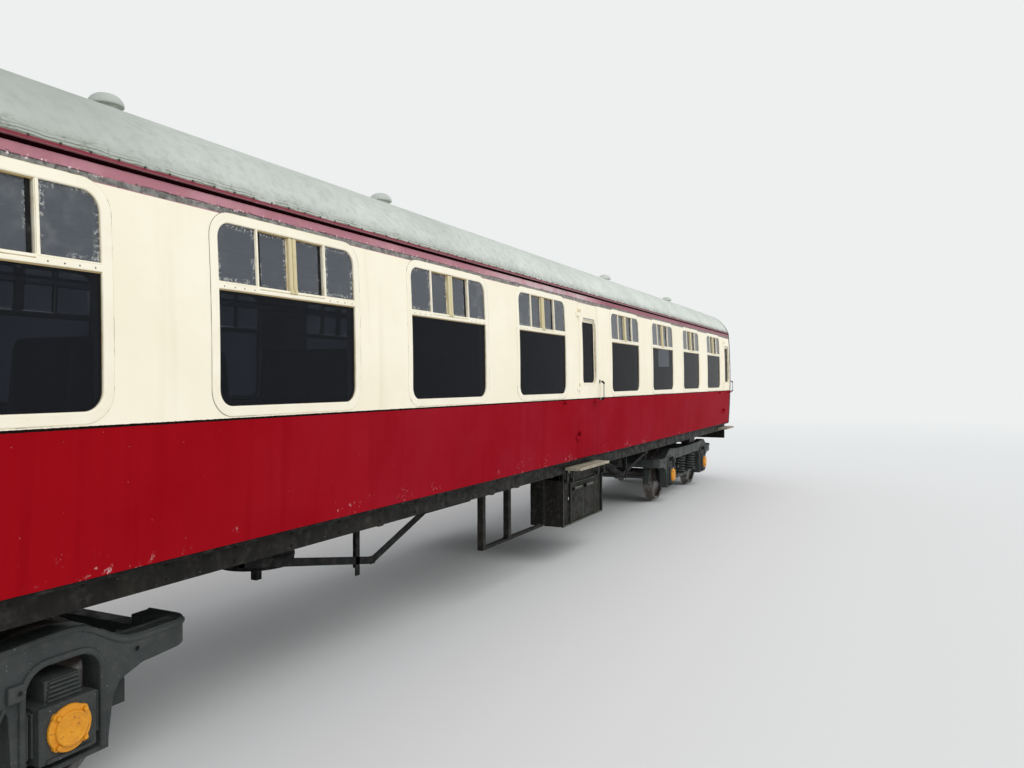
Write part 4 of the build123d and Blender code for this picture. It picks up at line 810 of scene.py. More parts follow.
def add_strip(bm, rows, ages_and_shades=None, closed=False):
    """A skin over rows of points that are rings. Closed joins the last row to the first."""
    layer = bm.verts.layers.float.get("age_and_shade") or bm.verts.layers.float.new("age_and_shade")
    grid = [[bm.verts.new(point) for point in row] for row in rows]
    for row, age_and_shade in zip(grid, ages_and_shades or ()):
        for vertex in row:
            vertex[layer] = age_and_shade
    faces = []
    count = len(rows[0])
    for i in range(len(rows) if closed else len(rows) - 1):
        a, b = grid[i], grid[(i + 1) % len(rows)]
        faces += [bm.faces.new((a[j], a[j + 1 - count], b[j + 1 - count], b[j])) for j in range(count)]
    return grid, faces


def closed_skin(rows):
    """A small bmesh: a skin over rings of points, closed at both ends and turned outwards."""
    part = bmesh.new()
    grid = add_strip(part, rows)[0]
    part.faces.new(grid[0])
    part.faces.new(grid[-1][::-1])
    bmesh.ops.recalc_face_normals(part, faces=part.faces)
    return part


def turns(count):
    """Angles that divide a full turn."""
    return [math.tau * k / count for k in range(count)]


def add_tube(bm, points, radius, sides=10, material=0):
    """A round bar along a line of points; radius may be one number or one for each point."""
    points = [Vector(p) for p in points]
    radii = radius if isinstance(radius, list) else [radius] * len(points)
    rows = []
    side = None
    for i, point in enumerate(points):
        along = (points[min(i + 1, len(points) - 1)] - points[max(i - 1, 0)]).normalized()
        side = side or along.orthogonal().normalized()
        side = (side - along * side.dot(along)).normalized()
        other = along.cross(side)
        rows.append([point + (side * math.cos(a) + other * math.sin(a)) * radii[i] for a in turns(sides)])
    add_part(bm, closed_skin(rows), None, material)


def add_turned(bm, profile, place, sides=24, material=0):
    """A turned piece: a profile of (radius, height) spun about the Z axis of a place, closed at both ends."""
    rows = [[Vector((radius * math.cos(a), radius * math.sin(a), height)) for a in turns(sides)]
            for radius, height in profile]
    add_part(bm, closed_skin(rows), lambda co: place @ co, material)


def on_side(co):
    """From (along, out from the skin, height) to a place on the right side of the body."""
    return Vector((co[0], -side_y(co[2]) - co[1], co[2]))


def flat_on(low, high):
    """A bend that keeps a piece flat between two heights, as the glass is, and not curved with the skin."""
    y_low, y_high = side_y(low), side_y(high)
    return lambda co: Vector((co[0], -(y_low + (y_high - y_low) * (co[2] - low) / (high - low)) - co[1], co[2]))


print("mesh helpers ready")

# %% [markdown]
# Screws, rivets and bolts are small and there are many of them, so they come from Geometry Nodes: the tree takes
# a cloud of points, each with the direction it faces, and sets one domed head on each. The size of the head, its
# height and its number of sides are inputs of the tree. Coil springs and the bars of a luggage rack repeat in the
# same way, so two more trees share the steps that begin and end the first one.

# %% Geometry Nodes trees for heads, springs and bars
def make_tree(name, shape, **inputs):
    """A tree that sets a shape on each point it is given, facing the way the point says, in one material."""
    tree = bpy.data.node_groups.new(name, "GeometryNodeTree")
    tree.interface.new_socket("Geometry", in_out="INPUT", socket_type="NodeSocketGeometry")
    for label, default in inputs.items():
        kind = "NodeSocketInt" if isinstance(default, int) else NUMBER
        tree.interface.new_socket(label, in_out="INPUT", socket_type=kind).default_value = default
    tree.interface.new_socket("Material", in_out="INPUT", socket_type="NodeSocketMaterial")
    tree.interface.new_socket("Geometry", in_out="OUTPUT", socket_type="NodeSocketGeometry")
    given = add_node(tree, "NodeGroupInput").outputs
    points = add_node(tree, "GeometryNodeMeshToPoints", {"Mesh": given["Geometry"]})
    facing = add_node(tree, "GeometryNodeInputNamedAttribute", {"Name": "facing"}, data_type="FLOAT_VECTOR")
    turn = add_node(tree, "FunctionNodeAlignRotationToVector", {"Vector": facing.outputs[0]}, axis="Z")
    placed = add_node(tree, "GeometryNodeInstanceOnPoints", {
        "Points": points.outputs[0], "Instance": shape(tree, given), "Rotation": turn.outputs[0]})
    real = add_node(tree, "GeometryNodeRealizeInstances", {0: placed.outputs[0]})
    painted = add_node(tree, "GeometryNodeSetMaterial", {"Geometry": real.outputs[0],
                                                         "Material": given["Material"]})
    add_node(tree, "NodeGroupOutput", {0: painted.outputs[0]})
    return tree


def head_shape(tree, given):
    top = maths(tree, "MULTIPLY", given["Radius"], given["Waist"])
    return add_node(tree, "GeometryNodeMeshCone", {"Vertices": given["Sides"], "Radius Bottom": given["Radius"],
                                                   "Radius Top": top, "Depth": given["Height"]}).outputs[0]


def bar_along(tree, line, sides, radius):
    circle = add_node(tree, "GeometryNodeCurvePrimitiveCircle", {"Resolution": sides, "Radius": radius})
    return add_node(tree, "GeometryNodeCurveToMesh", {"Curve": line.outputs[0], "Fill Caps": True,
                                                      "Profile Curve": circle.outputs[0]}).outputs[0]


def coil_shape(tree, given):
    helix = add_node(tree, "GeometryNodeCurveSpiral", {
        "Resolution": 26, "Rotations": given["Turns"], "Start Radius": given["Radius"],
        "End Radius": given["Radius"], "Height": given["Height"]})
    return bar_along(tree, helix, 10, given["Bar"])


def bar_shape(tree, given):
    line = add_node(tree, "GeometryNodeCurvePrimitiveLine", mode="DIRECTION")
    line.inputs["Direction"].default_value = (0, 0, 1)
    tree.links.new(given["Length"], line.inputs["Length"])
    return bar_along(tree, line, 6, given["Radius"])


HEADS = make_tree("Heads", head_shape, Radius=0.01, Height=0.005, Sides=10, Waist=0.7)
SPRINGS = make_tree("Coil springs", coil_shape, Radius=0.09, Bar=0.014, Height=0.3, Turns=6.0)
BARS = make_tree("Row of bars", bar_shape, Radius=0.003, Length=0.4)


def grown_piece(tree, spots, name, slot, material, replaced=(), corner=50, body="coach", **values):
    """Run a tree on a cloud of (point, facing) spots, and make the result into a piece."""
    mesh = bpy.data.meshes.new("points")
    mesh.from_pydata([point for point, facing in spots], [], [])
    facings = mesh.attributes.new("facing", "FLOAT_VECTOR", "POINT")
    for index, (point, facing) in enumerate(spots):
        facings.data[index].vector = facing
    holder = held(mesh, name + "_source")
    modifier = holder.modifiers.new("grow", "NODES")
    modifier.node_group = tree
    values["Material"] = material
    for item in tree.interface.items_tree:
        if item.name in values:
            modifier[item.identifier] = values[item.name]
    return piece_from(baked(holder, name), name, [material], replaced, corner, body)


print([(tree.name, len(tree.nodes)) for tree in (HEADS, SPRINGS, BARS)])

# %% [markdown]
# ## Window frames
# Each bay has one large frame: a cream flange on the skin with a lip that turns in to the glass, a transom, and
# above it four lights divided by two mullions and a double stile. The flange is a moulding on a rounded
# rectangle, so it is drawn by moving its section round that line. Only one bay is drawn, in short lists of
# points, and then it is copied to the sixteen bays. The section's points also give the `age_and_shade` of the
# paint: wear, and painted shade deep in the opening.

# %% The flange and its lip
GLASS_CORNER = 0.095
GLASS_MIDDLE = (GLASS_BOTTOM + GLASS_TOP) / 2
# The third value of each point is its age_and_shade: wear of the paint, and painted shade deeper in the opening.
FLANGE_SECTION = (  # (outside the glass edge, out from the skin, age)
    (0.06, -0.001, 0.9), (0.0592, 0.0014, 0.9), (0.0572, 0.0014, 0.7), (0.0564, 0.0008, 0.2),
    (0.0545, 0.003, 0.0), (0.0515, 0.004, 0.0), (0.02, 0.0042, 0.0), (0.013, 0.0054, 0.0), (0.007, 0.006, 0.0),
    (0.0022, 0.0048, 0.0), (-0.0008, 0.0012, 0.1), (-0.0014, -0.004, 0.45), (-0.0014, -0.01, 0.9),
    (-0.0014, -0.034, 1.2),
)
POINTS_PER_CORNER, POINTS_PER_SIDE = 9, 6


def rounded_rectangle(half_width, half_height, radius):
    """Points round a rectangle with round corners, from the middle of one side."""
    arcs = []
    for sign_u, sign_v, start in ((1, 1, 0), (-1, 1, 90), (-1, -1, 180), (1, -1, 270)):
        angles = [math.radians(start + 90 * k / POINTS_PER_CORNER) for k in range(POINTS_PER_CORNER + 1)]
        arcs.append([(sign_u * (half_width - radius) + radius * math.cos(angle),
                      sign_v * (half_height - radius) + radius * math.sin(angle)) for angle in angles])
    points = []
    for arc, following in zip(arcs, arcs[1:] + arcs[:1]):
        (u0, v0), (u1, v1) = arc[-1], following[0]
        shares = [k / POINTS_PER_SIDE for k in range(1, POINTS_PER_SIDE)]
        points += arc + [(u0 + (u1 - u0) * share, v0 + (v1 - v0) * share) for share in shares]
    return points


def add_moulding(bm, middle_x, middle_z, width, height, corner, section, bend=on_side, dark=0):
    """Move a section round a rounded rectangle. The first dark strips of the skin get material 1."""
    rows = []
    for out, proud, age_and_shade in section:
        line = rounded_rectangle(width / 2 + out, height / 2 + out, corner + out)
        rows.append([bend((middle_x + u, proud, middle_z + v)) for u, v in line])
    faces = add_strip(bm, rows, [age_and_shade for out, proud, age_and_shade in section])[1]
    bm.normal_update()
    if sum(face.normal.y * face.calc_area() for face in faces) > 0:
        bmesh.ops.reverse_faces(bm, faces=faces)
    for face in faces[:dark * len(rows[0])]:
        face.material_index = 1


bay = bmesh.new()
add_moulding(bay, 0, GLASS_MIDDLE, GLASS_WIDTH, GLASS_TOP - GLASS_BOTTOM, GLASS_CORNER, FLANGE_SECTION, dark=2)
print("flange section of", len(FLANGE_SECTION), "points")

# %% [markdown]
# The transom is a bar a little longer than the opening, with a thin track above it for the two sliding lights.
# The mullions are stepped: a broad bar with a narrow one in front. Where the sliding lights meet stand two
# half-round strips, browner than the rest, with small feet on the transom. The sliding lights sit deeper than
# the fixed ones and are a little narrow, so a dark gap stays beside each; a black stile at the outer end of each
# sliding light darkens that gap, partly a rubber seal and partly painted shade. Screw heads hold the two outer
# parts of the transom.

# %% Transom, mullions, stiles and screws
HALF_GLASS, QUARTER = GLASS_WIDTH / 2, GLASS_WIDTH / 4
TRACK_TOP = TRANSOM_HIGH + 0.008
LIGHT_TOP = GLASS_TOP + 0.002
FRAMES = [FRAME_PAINT, SEALANT, STILE_PAINT, DEEP_BLACK]

upper = flat_on(TRANSOM_LOW, GLASS_TOP)


def bay_bar(x0, x1, y0, y1, z0, z1, rounding, age_and_shade=0.0, material=0, segments=2):
    add_block(bay, (x0, y0, z0), (x1, y1, z1), rounding, upper, material, age_and_shade, segments)


bay_bar(-HALF_GLASS - 0.009, HALF_GLASS + 0.009, -0.030, -0.009, TRANSOM_LOW, TRANSOM_HIGH, 0.003, 0.4)
for end in (-1, 1):
    inner, outer = end * (QUARTER - 0.013), end * (HALF_GLASS + 0.010)
    bay_bar(inner, outer, -0.010, 0.0060, TRANSOM_LOW + 0.003, TRANSOM_HIGH - 0.001, 0.0045, segments=3)
    bay_bar(inner, outer, -0.012, 0.0020, TRANSOM_HIGH - 0.0005, TRACK_TOP, 0.002)
bay_bar(-QUARTER, QUARTER, -0.010, 0.0040, TRANSOM_LOW + 0.003, TRANSOM_LOW + 0.026, 0.004, segments=3)
bay_bar(-QUARTER, QUARTER, -0.012, 0.0010, TRANSOM_LOW + 0.031, TRACK_TOP - 0.002, 0.002)
bay_bar(-HALF_GLASS - 0.002, HALF_GLASS + 0.002, -0.022, -0.002, TRANSOM_LOW - 0.004, TRANSOM_LOW + 0.004, 0.002,
        0.95)
for end in (-1, 1):
    post, slide_in, slide_out, strip = end * QUARTER, end * 0.036, end * (QUARTER - 0.030), end * 0.0185
    # The mullion's tan comes from its age_and_shade value, and is partly painted shade on its sides.
    bay_bar(post - 0.012, post + 0.012, -0.030, -0.003, TRACK_TOP - 0.002, LIGHT_TOP, 0.002, 0.38)
    bay_bar(post - 0.0085, post + 0.0055, -0.006, 0.0030, TRACK_TOP - 0.004, LIGHT_TOP - 0.001, 0.002)
    bay_bar(slide_in - 0.006, slide_in + 0.006, -0.032, -0.018, TRACK_TOP, LIGHT_TOP, 0.001, 0.62)
    # Black stile at the outer end of the sliding light: partly a rubber seal, partly painted shade in the gap.
    bay_bar(slide_out - 0.010, slide_out + 0.010, -0.032, -0.017, TRACK_TOP, LIGHT_TOP, 0.001, material=3)
    # An ochre bar along the top of each sliding light: painted shade under the top of the frame.
    bay_bar(slide_in, post, -0.030, -0.004, LIGHT_TOP - 0.010, LIGHT_TOP + 0.002, 0.002, 1.1)
    bay_bar(strip - 0.016, strip + 0.016, -0.026, 0.0050, TRACK_TOP - 0.004, LIGHT_TOP - 0.006, 0.010, 0.25, 2, 4)
    bay_bar(strip - 0.013, strip + 0.013, -0.010, 0.0105, TRACK_TOP - 0.020, TRACK_TOP + 0.010, 0.006, 0.2, 2, 3)
piece_from(bay, "bay_frames", FRAMES, ["window_frames"], 30, places=side_places(WINDOWS))

screws = []
for x in WINDOWS:
    for sign in (-1, 1):
        for end in (-1, 1):
            for share in (1.12, 1.38, 1.62, 1.88):
                spot = upper((x + end * share * QUARTER, 0.0060, TRANSOM_LOW + 0.019))
                screws.append(((spot.x, -sign * spot.y, spot.z), (0, sign, 0)))
grown_piece(HEADS, screws, "transom_screws", "steel_castings", DEEP_BLACK, Radius=0.0042, Height=0.0014, Sides=8)

TOILET_X, TOILET_WIDTH, TOILET_CORNER = -8.83, 0.56, 0.09
TOILET_LOW, TOILET_HIGH = 1.985 + LIFT, 2.625 + LIFT
TOILET_MIDDLE, TOILET_HEIGHT = (TOILET_LOW + TOILET_HIGH) / 2, TOILET_HIGH - TOILET_LOW
TOILET_SECTION = (
    (0.006, -0.001, 0.9), (0.0055, 0.0012, 0.9), (0.004, 0.003, 0.2), (-0.004, 0.005, 0.0),
    (-0.018, 0.0046, 0.0), (-0.024, 0.002, 0.1), (-0.029, -0.004, 0.8), (-0.03, -0.02, 1.2),
)
toilet = bmesh.new()
add_moulding(toilet, TOILET_X, TOILET_MIDDLE, TOILET_WIDTH, TOILET_HEIGHT, TOILET_CORNER, TOILET_SECTION, dark=1)
piece_from(toilet, "toilet_window_frames", [FRAME_PAINT, SEALANT], (), 30, places=BOTH_SIDES)

# %% [markdown]
# The panes are real sheets of glass, 6 mm thick, flat between straight edges, and set back from the skin. The
# large lower pane and the small upper lights are separate pieces, because they have different glass.

# %% Panes
PANE_THICKNESS = 0.006


def add_pane(bm, x0, x1, low, high, bend, set_back, rim=0.0):
    """A pane of glass. With a rim, the attribute age_and_shade falls from 1 at its edge to 0 that far inside."""
    x0, x1 = sorted((x0, x1))
    pane = bmesh.new()
    age_and_shade = pane.verts.layers.float.new("age_and_shade")
    unit_block(pane, (x0, -set_back - PANE_THICKNESS, low), (x1, -set_back, high))
    if rim:
        broad = [face for face in pane.faces if abs(face.normal.y) > 0.5]
        bmesh.ops.inset_individual(pane, faces=broad, thickness=rim)
        for vertex in pane.verts:
            edge = min(vertex.co.x - x0, x1 - vertex.co.x, vertex.co.z - low, high - vertex.co.z)
            vertex[age_and_shade] = 1.0 if edge <= rim / 2 else 0.0
    add_part(bm, pane, bend)


lower = flat_on(GLASS_BOTTOM, TRANSOM_LOW)
large, small = bmesh.new(), bmesh.new()
add_pane(large, -HALF_GLASS + 0.002, HALF_GLASS - 0.002, GLASS_BOTTOM + 0.001, TRANSOM_LOW - 0.0005, lower, 0.008)
for end in (-1, 1):
    add_pane(small, end * (QUARTER + 0.0125), end * (HALF_GLASS - 0.002), TRACK_TOP, GLASS_TOP - 0.001, upper,
             0.009, 0.058)
    add_pane(small, end * 0.042, end * (QUARTER - 0.036), TRACK_TOP, LIGHT_TOP - 0.011, upper, 0.022, 0.040)
piece_from(large, "lower_panes", [PANE_GLASS], ["window_glass"], 20, places=side_places(WINDOWS))
piece_from(small, "top_lights", [LIGHT_GLASS], (), 20, places=side_places(WINDOWS))

flat_toilet = flat_on(TOILET_LOW, TOILET_HIGH)
line = rounded_rectangle(TOILET_WIDTH / 2 - 0.030, TOILET_HEIGHT / 2 - 0.030, 0.06)
frosted = closed_skin([[flat_toilet((TOILET_X + u, -depth, TOILET_MIDDLE + v)) for u, v in line]
                       for depth in (0.016, 0.022)])
piece_from(frosted, "toilet_panes", [FROSTED_GLASS], (), 20, places=BOTH_SIDES)

# %% [markdown]
# ## Doors
# A door is a steel leaf with a drop window in its upper half. Its CAD shape is right, so the leaf is a copy with
# its edges rounded by 2 mm, which makes the seams round it show as fine lines. Its window and handle are drawn
# afresh: the opening gets a bead, a lip over its top with a black strip under it as the lip's painted shadow,
# and a narrow inner frame with the pane close to the skin. The plain CAD handle is cut away for one with a boss
# and a tapered lever, over a keyhole plate. Each piece rides on its own door, so it swings with it.

# %% Door leaves and their windows
DROP_WIDTH, DROP_LOW, DROP_HIGH, DROP_CORNER, DROP_OFFSET = 0.476, 2.1 + LIFT, 2.87 + LIFT, 0.08, 0.017
HANDLE_HEIGHT, HANDLE_X = 1.89 + LIFT, DOOR_WIDTH / 2 - 0.1375
LOCK_HEIGHT, LOCK_X = HANDLE_HEIGHT - 0.10, DOOR_WIDTH / 2 - 0.08
LEVER_HALF, LEVER_STEPS = 0.075, 12
PANE_DEPTH = 0.0265
BEAD_SECTION = ((0.0125, -0.0005, 0.4), (0.0115, 0.0028, 0.0), (0.008, 0.0042, 0.0), (0.003, 0.0042, 0.0),
                (0.0005, 0.002, 0.1), (-0.0008, -0.003, 0.2), (-0.001, -0.026, 0.75))
INNER_SECTION = ((0.0005, -0.0225, 0.5), (-0.0045, -0.0215, 0.2), (-0.011, -0.022, 0.1), (-0.0135, -0.024, 0.4),
                 (-0.014, -0.034, 1.0))
HANDLE_PROFILE = ((0.034, -0.002), (0.034, 0.003), (0.030, 0.007), (0.018, 0.009), (0.013, 0.014), (0.012, 0.040),
                  (0.015, 0.046), (0.013, 0.054), (0.006, 0.057))
LOCK_PROFILE = ((0.016, -0.001), (0.016, 0.0025), (0.013, 0.0040), (0.005, 0.0040), (0.004, 0.0022))


def on_skin(x, height):
    """A place on the skin of the right side, with its Z axis straight out."""
    return moved(x, -side_y(height), height) @ FACING_SIDE


def door_window(bend):
    """The mouldings and the lip of a drop window, drawn on the right side with its middle at x = 0."""
    bm = bmesh.new()
    for section, follow in ((BEAD_SECTION, on_side), (INNER_SECTION, bend)):
        add_moulding(bm, 0, (DROP_LOW + DROP_HIGH) / 2, DROP_WIDTH, DROP_HIGH - DROP_LOW, DROP_CORNER, section,
                     follow)
    half = DROP_WIDTH / 2 - DROP_CORNER * 0.55
    add_block(bm, (-half, 0.001, DROP_HIGH + 0.012), (half, 0.0105, DROP_HIGH + 0.021), 0.003, on_side, 1)
    # Black strip under the lip: the lip's painted shadow.
    add_block(bm, (-half, 0.0005, DROP_HIGH + 0.0085), (half, 0.0070, DROP_HIGH + 0.0125), 0.001, on_side, 2)
    add_block(bm, (-half - 0.03, -0.031, DROP_HIGH - 0.030), (half + 0.03, -0.0235, DROP_HIGH - 0.012), 0.003,
              bend, age_and_shade=0.4)
    return mesh_of(bm)


def door_pane(bend):
    bm = bmesh.new()
    half = DROP_WIDTH / 2 - 0.001
    add_pane(bm, -half, half, DROP_LOW + 0.001, DROP_HIGH - 0.001, bend, PANE_DEPTH, 0.022)
    return mesh_of(bm)


def door_handle():
    """Boss, neck and tapered lever of a door handle, drawn on the right side with its boss at x = 0."""
    bm = bmesh.new()
    add_turned(bm, HANDLE_PROFILE, on_skin(0, HANDLE_HEIGHT), 20)
    lever, radii = [], []
    for k in range(LEVER_STEPS + 1):
        u = LEVER_HALF * (2 * k / LEVER_STEPS - 1)
        lever.append((u, -side_y(HANDLE_HEIGHT) - 0.046 - 0.004 * math.cos(u * 18),
                      HANDLE_HEIGHT - 0.004 * abs(u) / LEVER_HALF))
        bulge = math.cos(math.pi * (k / LEVER_STEPS - 0.5)) ** 0.6 if 0 < k < LEVER_STEPS else 0
        radii.append(0.006 + 0.007 * bulge)
    add_tube(bm, lever, radii, 12)
    return mesh_of(bm)


def door_lock():
    """A keyhole plate under the handle."""
    bm = bmesh.new()
    add_turned(bm, LOCK_PROFILE, on_skin(0, LOCK_HEIGHT), 16)
    return mesh_of(bm)


def leaf_without_handle(node, handle_x):
    """The CAD leaf with rounded edges, less its handle and its window frame."""
    bm = joined_copy(node)
    kept = set(max(solids_in(bm), key=len))
    bmesh.ops.delete(bm, geom=[v for v in bm.verts if v not in kept], context="VERTS")
    cut_away(bm, [v for v in bm.verts if abs(v.co.x - handle_x) < 0.09 and abs(v.co.z - HANDLE_HEIGHT) < 0.03
                  and abs(v.co.y) > side_y(v.co.z) + 0.0008])
    round_edges(bm, 0.0020, 2, 40)
    return bm


flat_drop = flat_on(DROP_LOW, DROP_HIGH)
WINDOW_MESH, PANE_MESH = door_window(flat_drop), door_pane(flat_drop)
HANDLE_MESH, LOCK_MESH = door_handle(), door_lock()
DOOR_PLACES = {}
for side, turn in (("right", SAME), ("left", Matrix.Rotation(math.pi, 4, "Z"))):
    for where, x in DOORS.items():
        body = f"door_{side}_{where}"
        door = DOOR_PLACES[body] = moved(x) @ turn
        leaf = leaf_without_handle(body, (door @ Vector((HANDLE_X, 0, 0))).x)
        piece_from(leaf, body + "_leaf", [BODY_PAINT], [body], 40, body)
        for mesh, ending, slot, materials, along, replaced, corner in (
                (WINDOW_MESH, "_window_frame", "frame_paint", [FRAME_PAINT, BRIGHT_STEEL, DEEP_BLACK], DROP_OFFSET,
                 (), 35),
                (PANE_MESH, "_pane", "glass", [PANE_GLASS], DROP_OFFSET, [body + "_glass"], 20),
                (HANDLE_MESH, "_handle", "body_paint", [BODY_PAINT], HANDLE_X, (), 35),
                (LOCK_MESH, "_lock", "body_paint", [BODY_PAINT], LOCK_X, (), 35)):
            piece_from(mesh, body + ending, materials, replaced, corner, body, [door @ moved(along)])

# %% [markdown]
# Beside each door the body carries the other halves of the hinges, a rubber stop for the handle, and an upright
# grab rail. The hinge halves are softened copies of the CAD ones. The rail is a bent tube: it comes out of a
# round foot, turns up, and goes back at the top, with black sleeves at its ends.

# %% Hinges, stops and grab rails
RAIL_X, RAIL_LOW, RAIL_HIGH, RAIL_BEND = DOOR_WIDTH / 2 + 0.045, 1.905 + LIFT, 2.128 + LIFT, 0.03
RAIL_REACH = HALF_WIDTH + 0.055
STOP_X, STOP_HEIGHT = -0.8125, 1.893 + LIFT
FOOT_PROFILE = ((0.024, -0.002), (0.024, 0.004), (0.018, 0.008), (0.0115, 0.010))
STOP_PROFILE = ((0.026, -0.001), (0.026, 0.004), (0.019, 0.008), (0.017, 0.020), (0.021, 0.027), (0.0205, 0.034),
                (0.014, 0.0385), (0.004, 0.039))


def hinge_halves():
    """Softened copies of the hinge halves, less the rails and the stops."""
    bm = joined_copy("door_fittings")
    drop = []
    for solid in solids_in(bm):
        size = size_of(solid)[1] - size_of(solid)[0]
        if size.z > 0.15 or (size.x > 0.045 and size.z > 0.048):
            drop += solid
    bmesh.ops.delete(bm, geom=drop, context="VERTS")
    round_edges(bm, 0.0015, 2, 35)
    return bm


def grab_rail():
    """One rail with its sleeves and feet (material 1), beside a door with its middle at x = 0."""
    rail = bmesh.new()
    arcs = []
    for corner_z, turn in ((RAIL_LOW + RAIL_BEND, 1), (RAIL_HIGH - RAIL_BEND, -1)):
        arc = [(RAIL_X, -(RAIL_REACH - RAIL_BEND + RAIL_BEND * math.sin(a)), corner_z - turn * RAIL_BEND * math.cos(a))
               for a in (math.radians(15 * k) for k in range(7))]
        arcs.append(arc[::turn])
    start, end = [(RAIL_X, -side_y(z) + 0.002, z) for z in (RAIL_LOW, RAIL_HIGH)]
    add_tube(rail, [start, *arcs[0], *arcs[1], end], 0.010, 14)
    for arc in arcs:
        add_tube(rail, arc, 0.0122, 14, 1)
    for foot in (start, end):
        add_turned(rail, FOOT_PROFILE, moved(*foot) @ FACING_SIDE, 18, 1)
    return rail


stop = bmesh.new()
add_turned(stop, STOP_PROFILE, on_skin(0, STOP_HEIGHT), 20)
# The far left door has no stop, because it would stand past the end of the body.
stops = [door @ moved(STOP_X) for body, door in DOOR_PLACES.items() if body != "door_left_far"]
piece_from(hinge_halves(), "pillar_hinges", [BODY_PAINT], ["door_fittings"], 40)
piece_from(grab_rail(), "grab_rails", [BRIGHT_STEEL, DEEP_BLACK], places=list(DOOR_PLACES.values()))
piece_from(stop, "bump_stops", [BODY_PAINT], places=stops)

# %% [markdown]
# ## Bogies
# Each bogie frame is one large steel casting, poured in a sand mould, so its edges are well rounded and its rims
# are thickened. The CAD part gives its outline, with the hollow arms and the low end bars. Here every edge is
# rounded, and a raised bead is laid along the top and round each opening for an axlebox. A bead is a half-round
# section drawn along a line on the outer face.

# %% Bead, lugs and rounded casting
BOGIE_FACE, FRAME_END, FRAME_CORNER, LUG_OFFSET = 1.060, 2.085, 0.120, 1.055
FRAME_TOP = [(0, 0.890), (0.900, 0.898), (1.300, 0.930), (1.420, 0.918), (1.600, 0.800), (1.700, 0.776), (1.95, 0.781),
             (1.98, 0.7815), (2.01, 0.782), (2.035, 0.7825), (2.055, 0.783)]
JAW_HALF, JAW_TOP, JAW_CORNER, JAW_FOOT, JAW_BEND = 0.192, 0.777, 0.110, 0.278, 0.45


def smooth_line(points, passes=3):
    """Cut the corners of a line a few times, so that it bends gently. Its ends stay."""
    for _ in range(passes):
        cut = [points[0]]
        for (x0, z0), (x1, z1) in zip(points[:-1], points[1:]):
            cut += [(0.75 * x0 + 0.25 * x1, 0.75 * z0 + 0.25 * z1), (0.25 * x0 + 0.75 * x1, 0.25 * z0 + 0.75 * z1)]
        points = cut + [points[-1]]
    return points


def face_at(x):
    """Distance of the outer face of a side frame from the middle; the plan of the frame has rounded corners."""
    past = max(0.0, abs(x) - (FRAME_END - FRAME_CORNER))
    return BOGIE_FACE - FRAME_CORNER + math.sqrt(FRAME_CORNER ** 2 - min(past, FRAME_CORNER) ** 2)


def add_bead(bm, line, width, proud, root=0.004):
    """A half-round bead along an (x, z) line, on the outer face of the right side frame."""
    rows = []
    for i, (x, z) in enumerate(line):
        (x0, z0), (x1, z1) = line[max(i - 1, 0)], line[min(i + 1, len(line) - 1)]
        across = Vector((z0 - z1, 0, x1 - x0)) * (width / 2 / math.hypot(x1 - x0, z1 - z0))
        middle = Vector((x, -face_at(x), z + LIFT))
        out = Vector(((face_at(x - 0.001) - face_at(x + 0.001)) / 0.002, -1, 0)).normalized()
        bow = [middle - across * math.cos(a) + out * (proud * math.sin(a) ** 0.7)
               for a in (math.pi * k / 6 for k in range(7))]
        rows.append([middle - across - out * root, *bow, middle + across - out * root])
    add_part(bm, closed_skin(rows))


def jaw_line(offset, away):
    """The outline of one opening for an axlebox, from foot to foot, moved outwards."""
    half, top, radius = JAW_HALF + away, JAW_TOP + away, JAW_CORNER + away
    line = [(offset - half, JAW_FOOT), (offset - half, JAW_BEND)]
    for centre, start in ((-1, 180), (1, 90)):
        for k in range(9):
            a = math.radians(start - 90 * k / 8)
            line.append((offset + centre * (half - radius) + radius * math.cos(a), top - radius + radius * math.sin(a)))
    return line + [(offset + half, JAW_BEND), (offset + half, JAW_FOOT)]


def arm_rims():
    """The two rims that run over the hollow arm on the right side, the outer one round the corner too."""
    right_half = smooth_line(FRAME_TOP)
    rim = [(x, -face_at(x) + 0.010, z - 0.003 + LIFT) for x, z in right_half if 1.48 < x < FRAME_END - 0.05]
    height = rim[-1][2]
    for k in range(1, 7):
        a, radius = math.radians(15 * k), FRAME_CORNER - 0.010
        rim.append((FRAME_END - FRAME_CORNER + radius * math.sin(a), FRAME_CORNER - BOGIE_FACE - radius * math.cos(a),
                    height))
    rim.append((FRAME_END - 0.010, -0.720, height))
    return rim, [(x, -0.940, z - 0.004 + LIFT) for x, z in right_half if 1.60 < x < FRAME_END - 0.06]


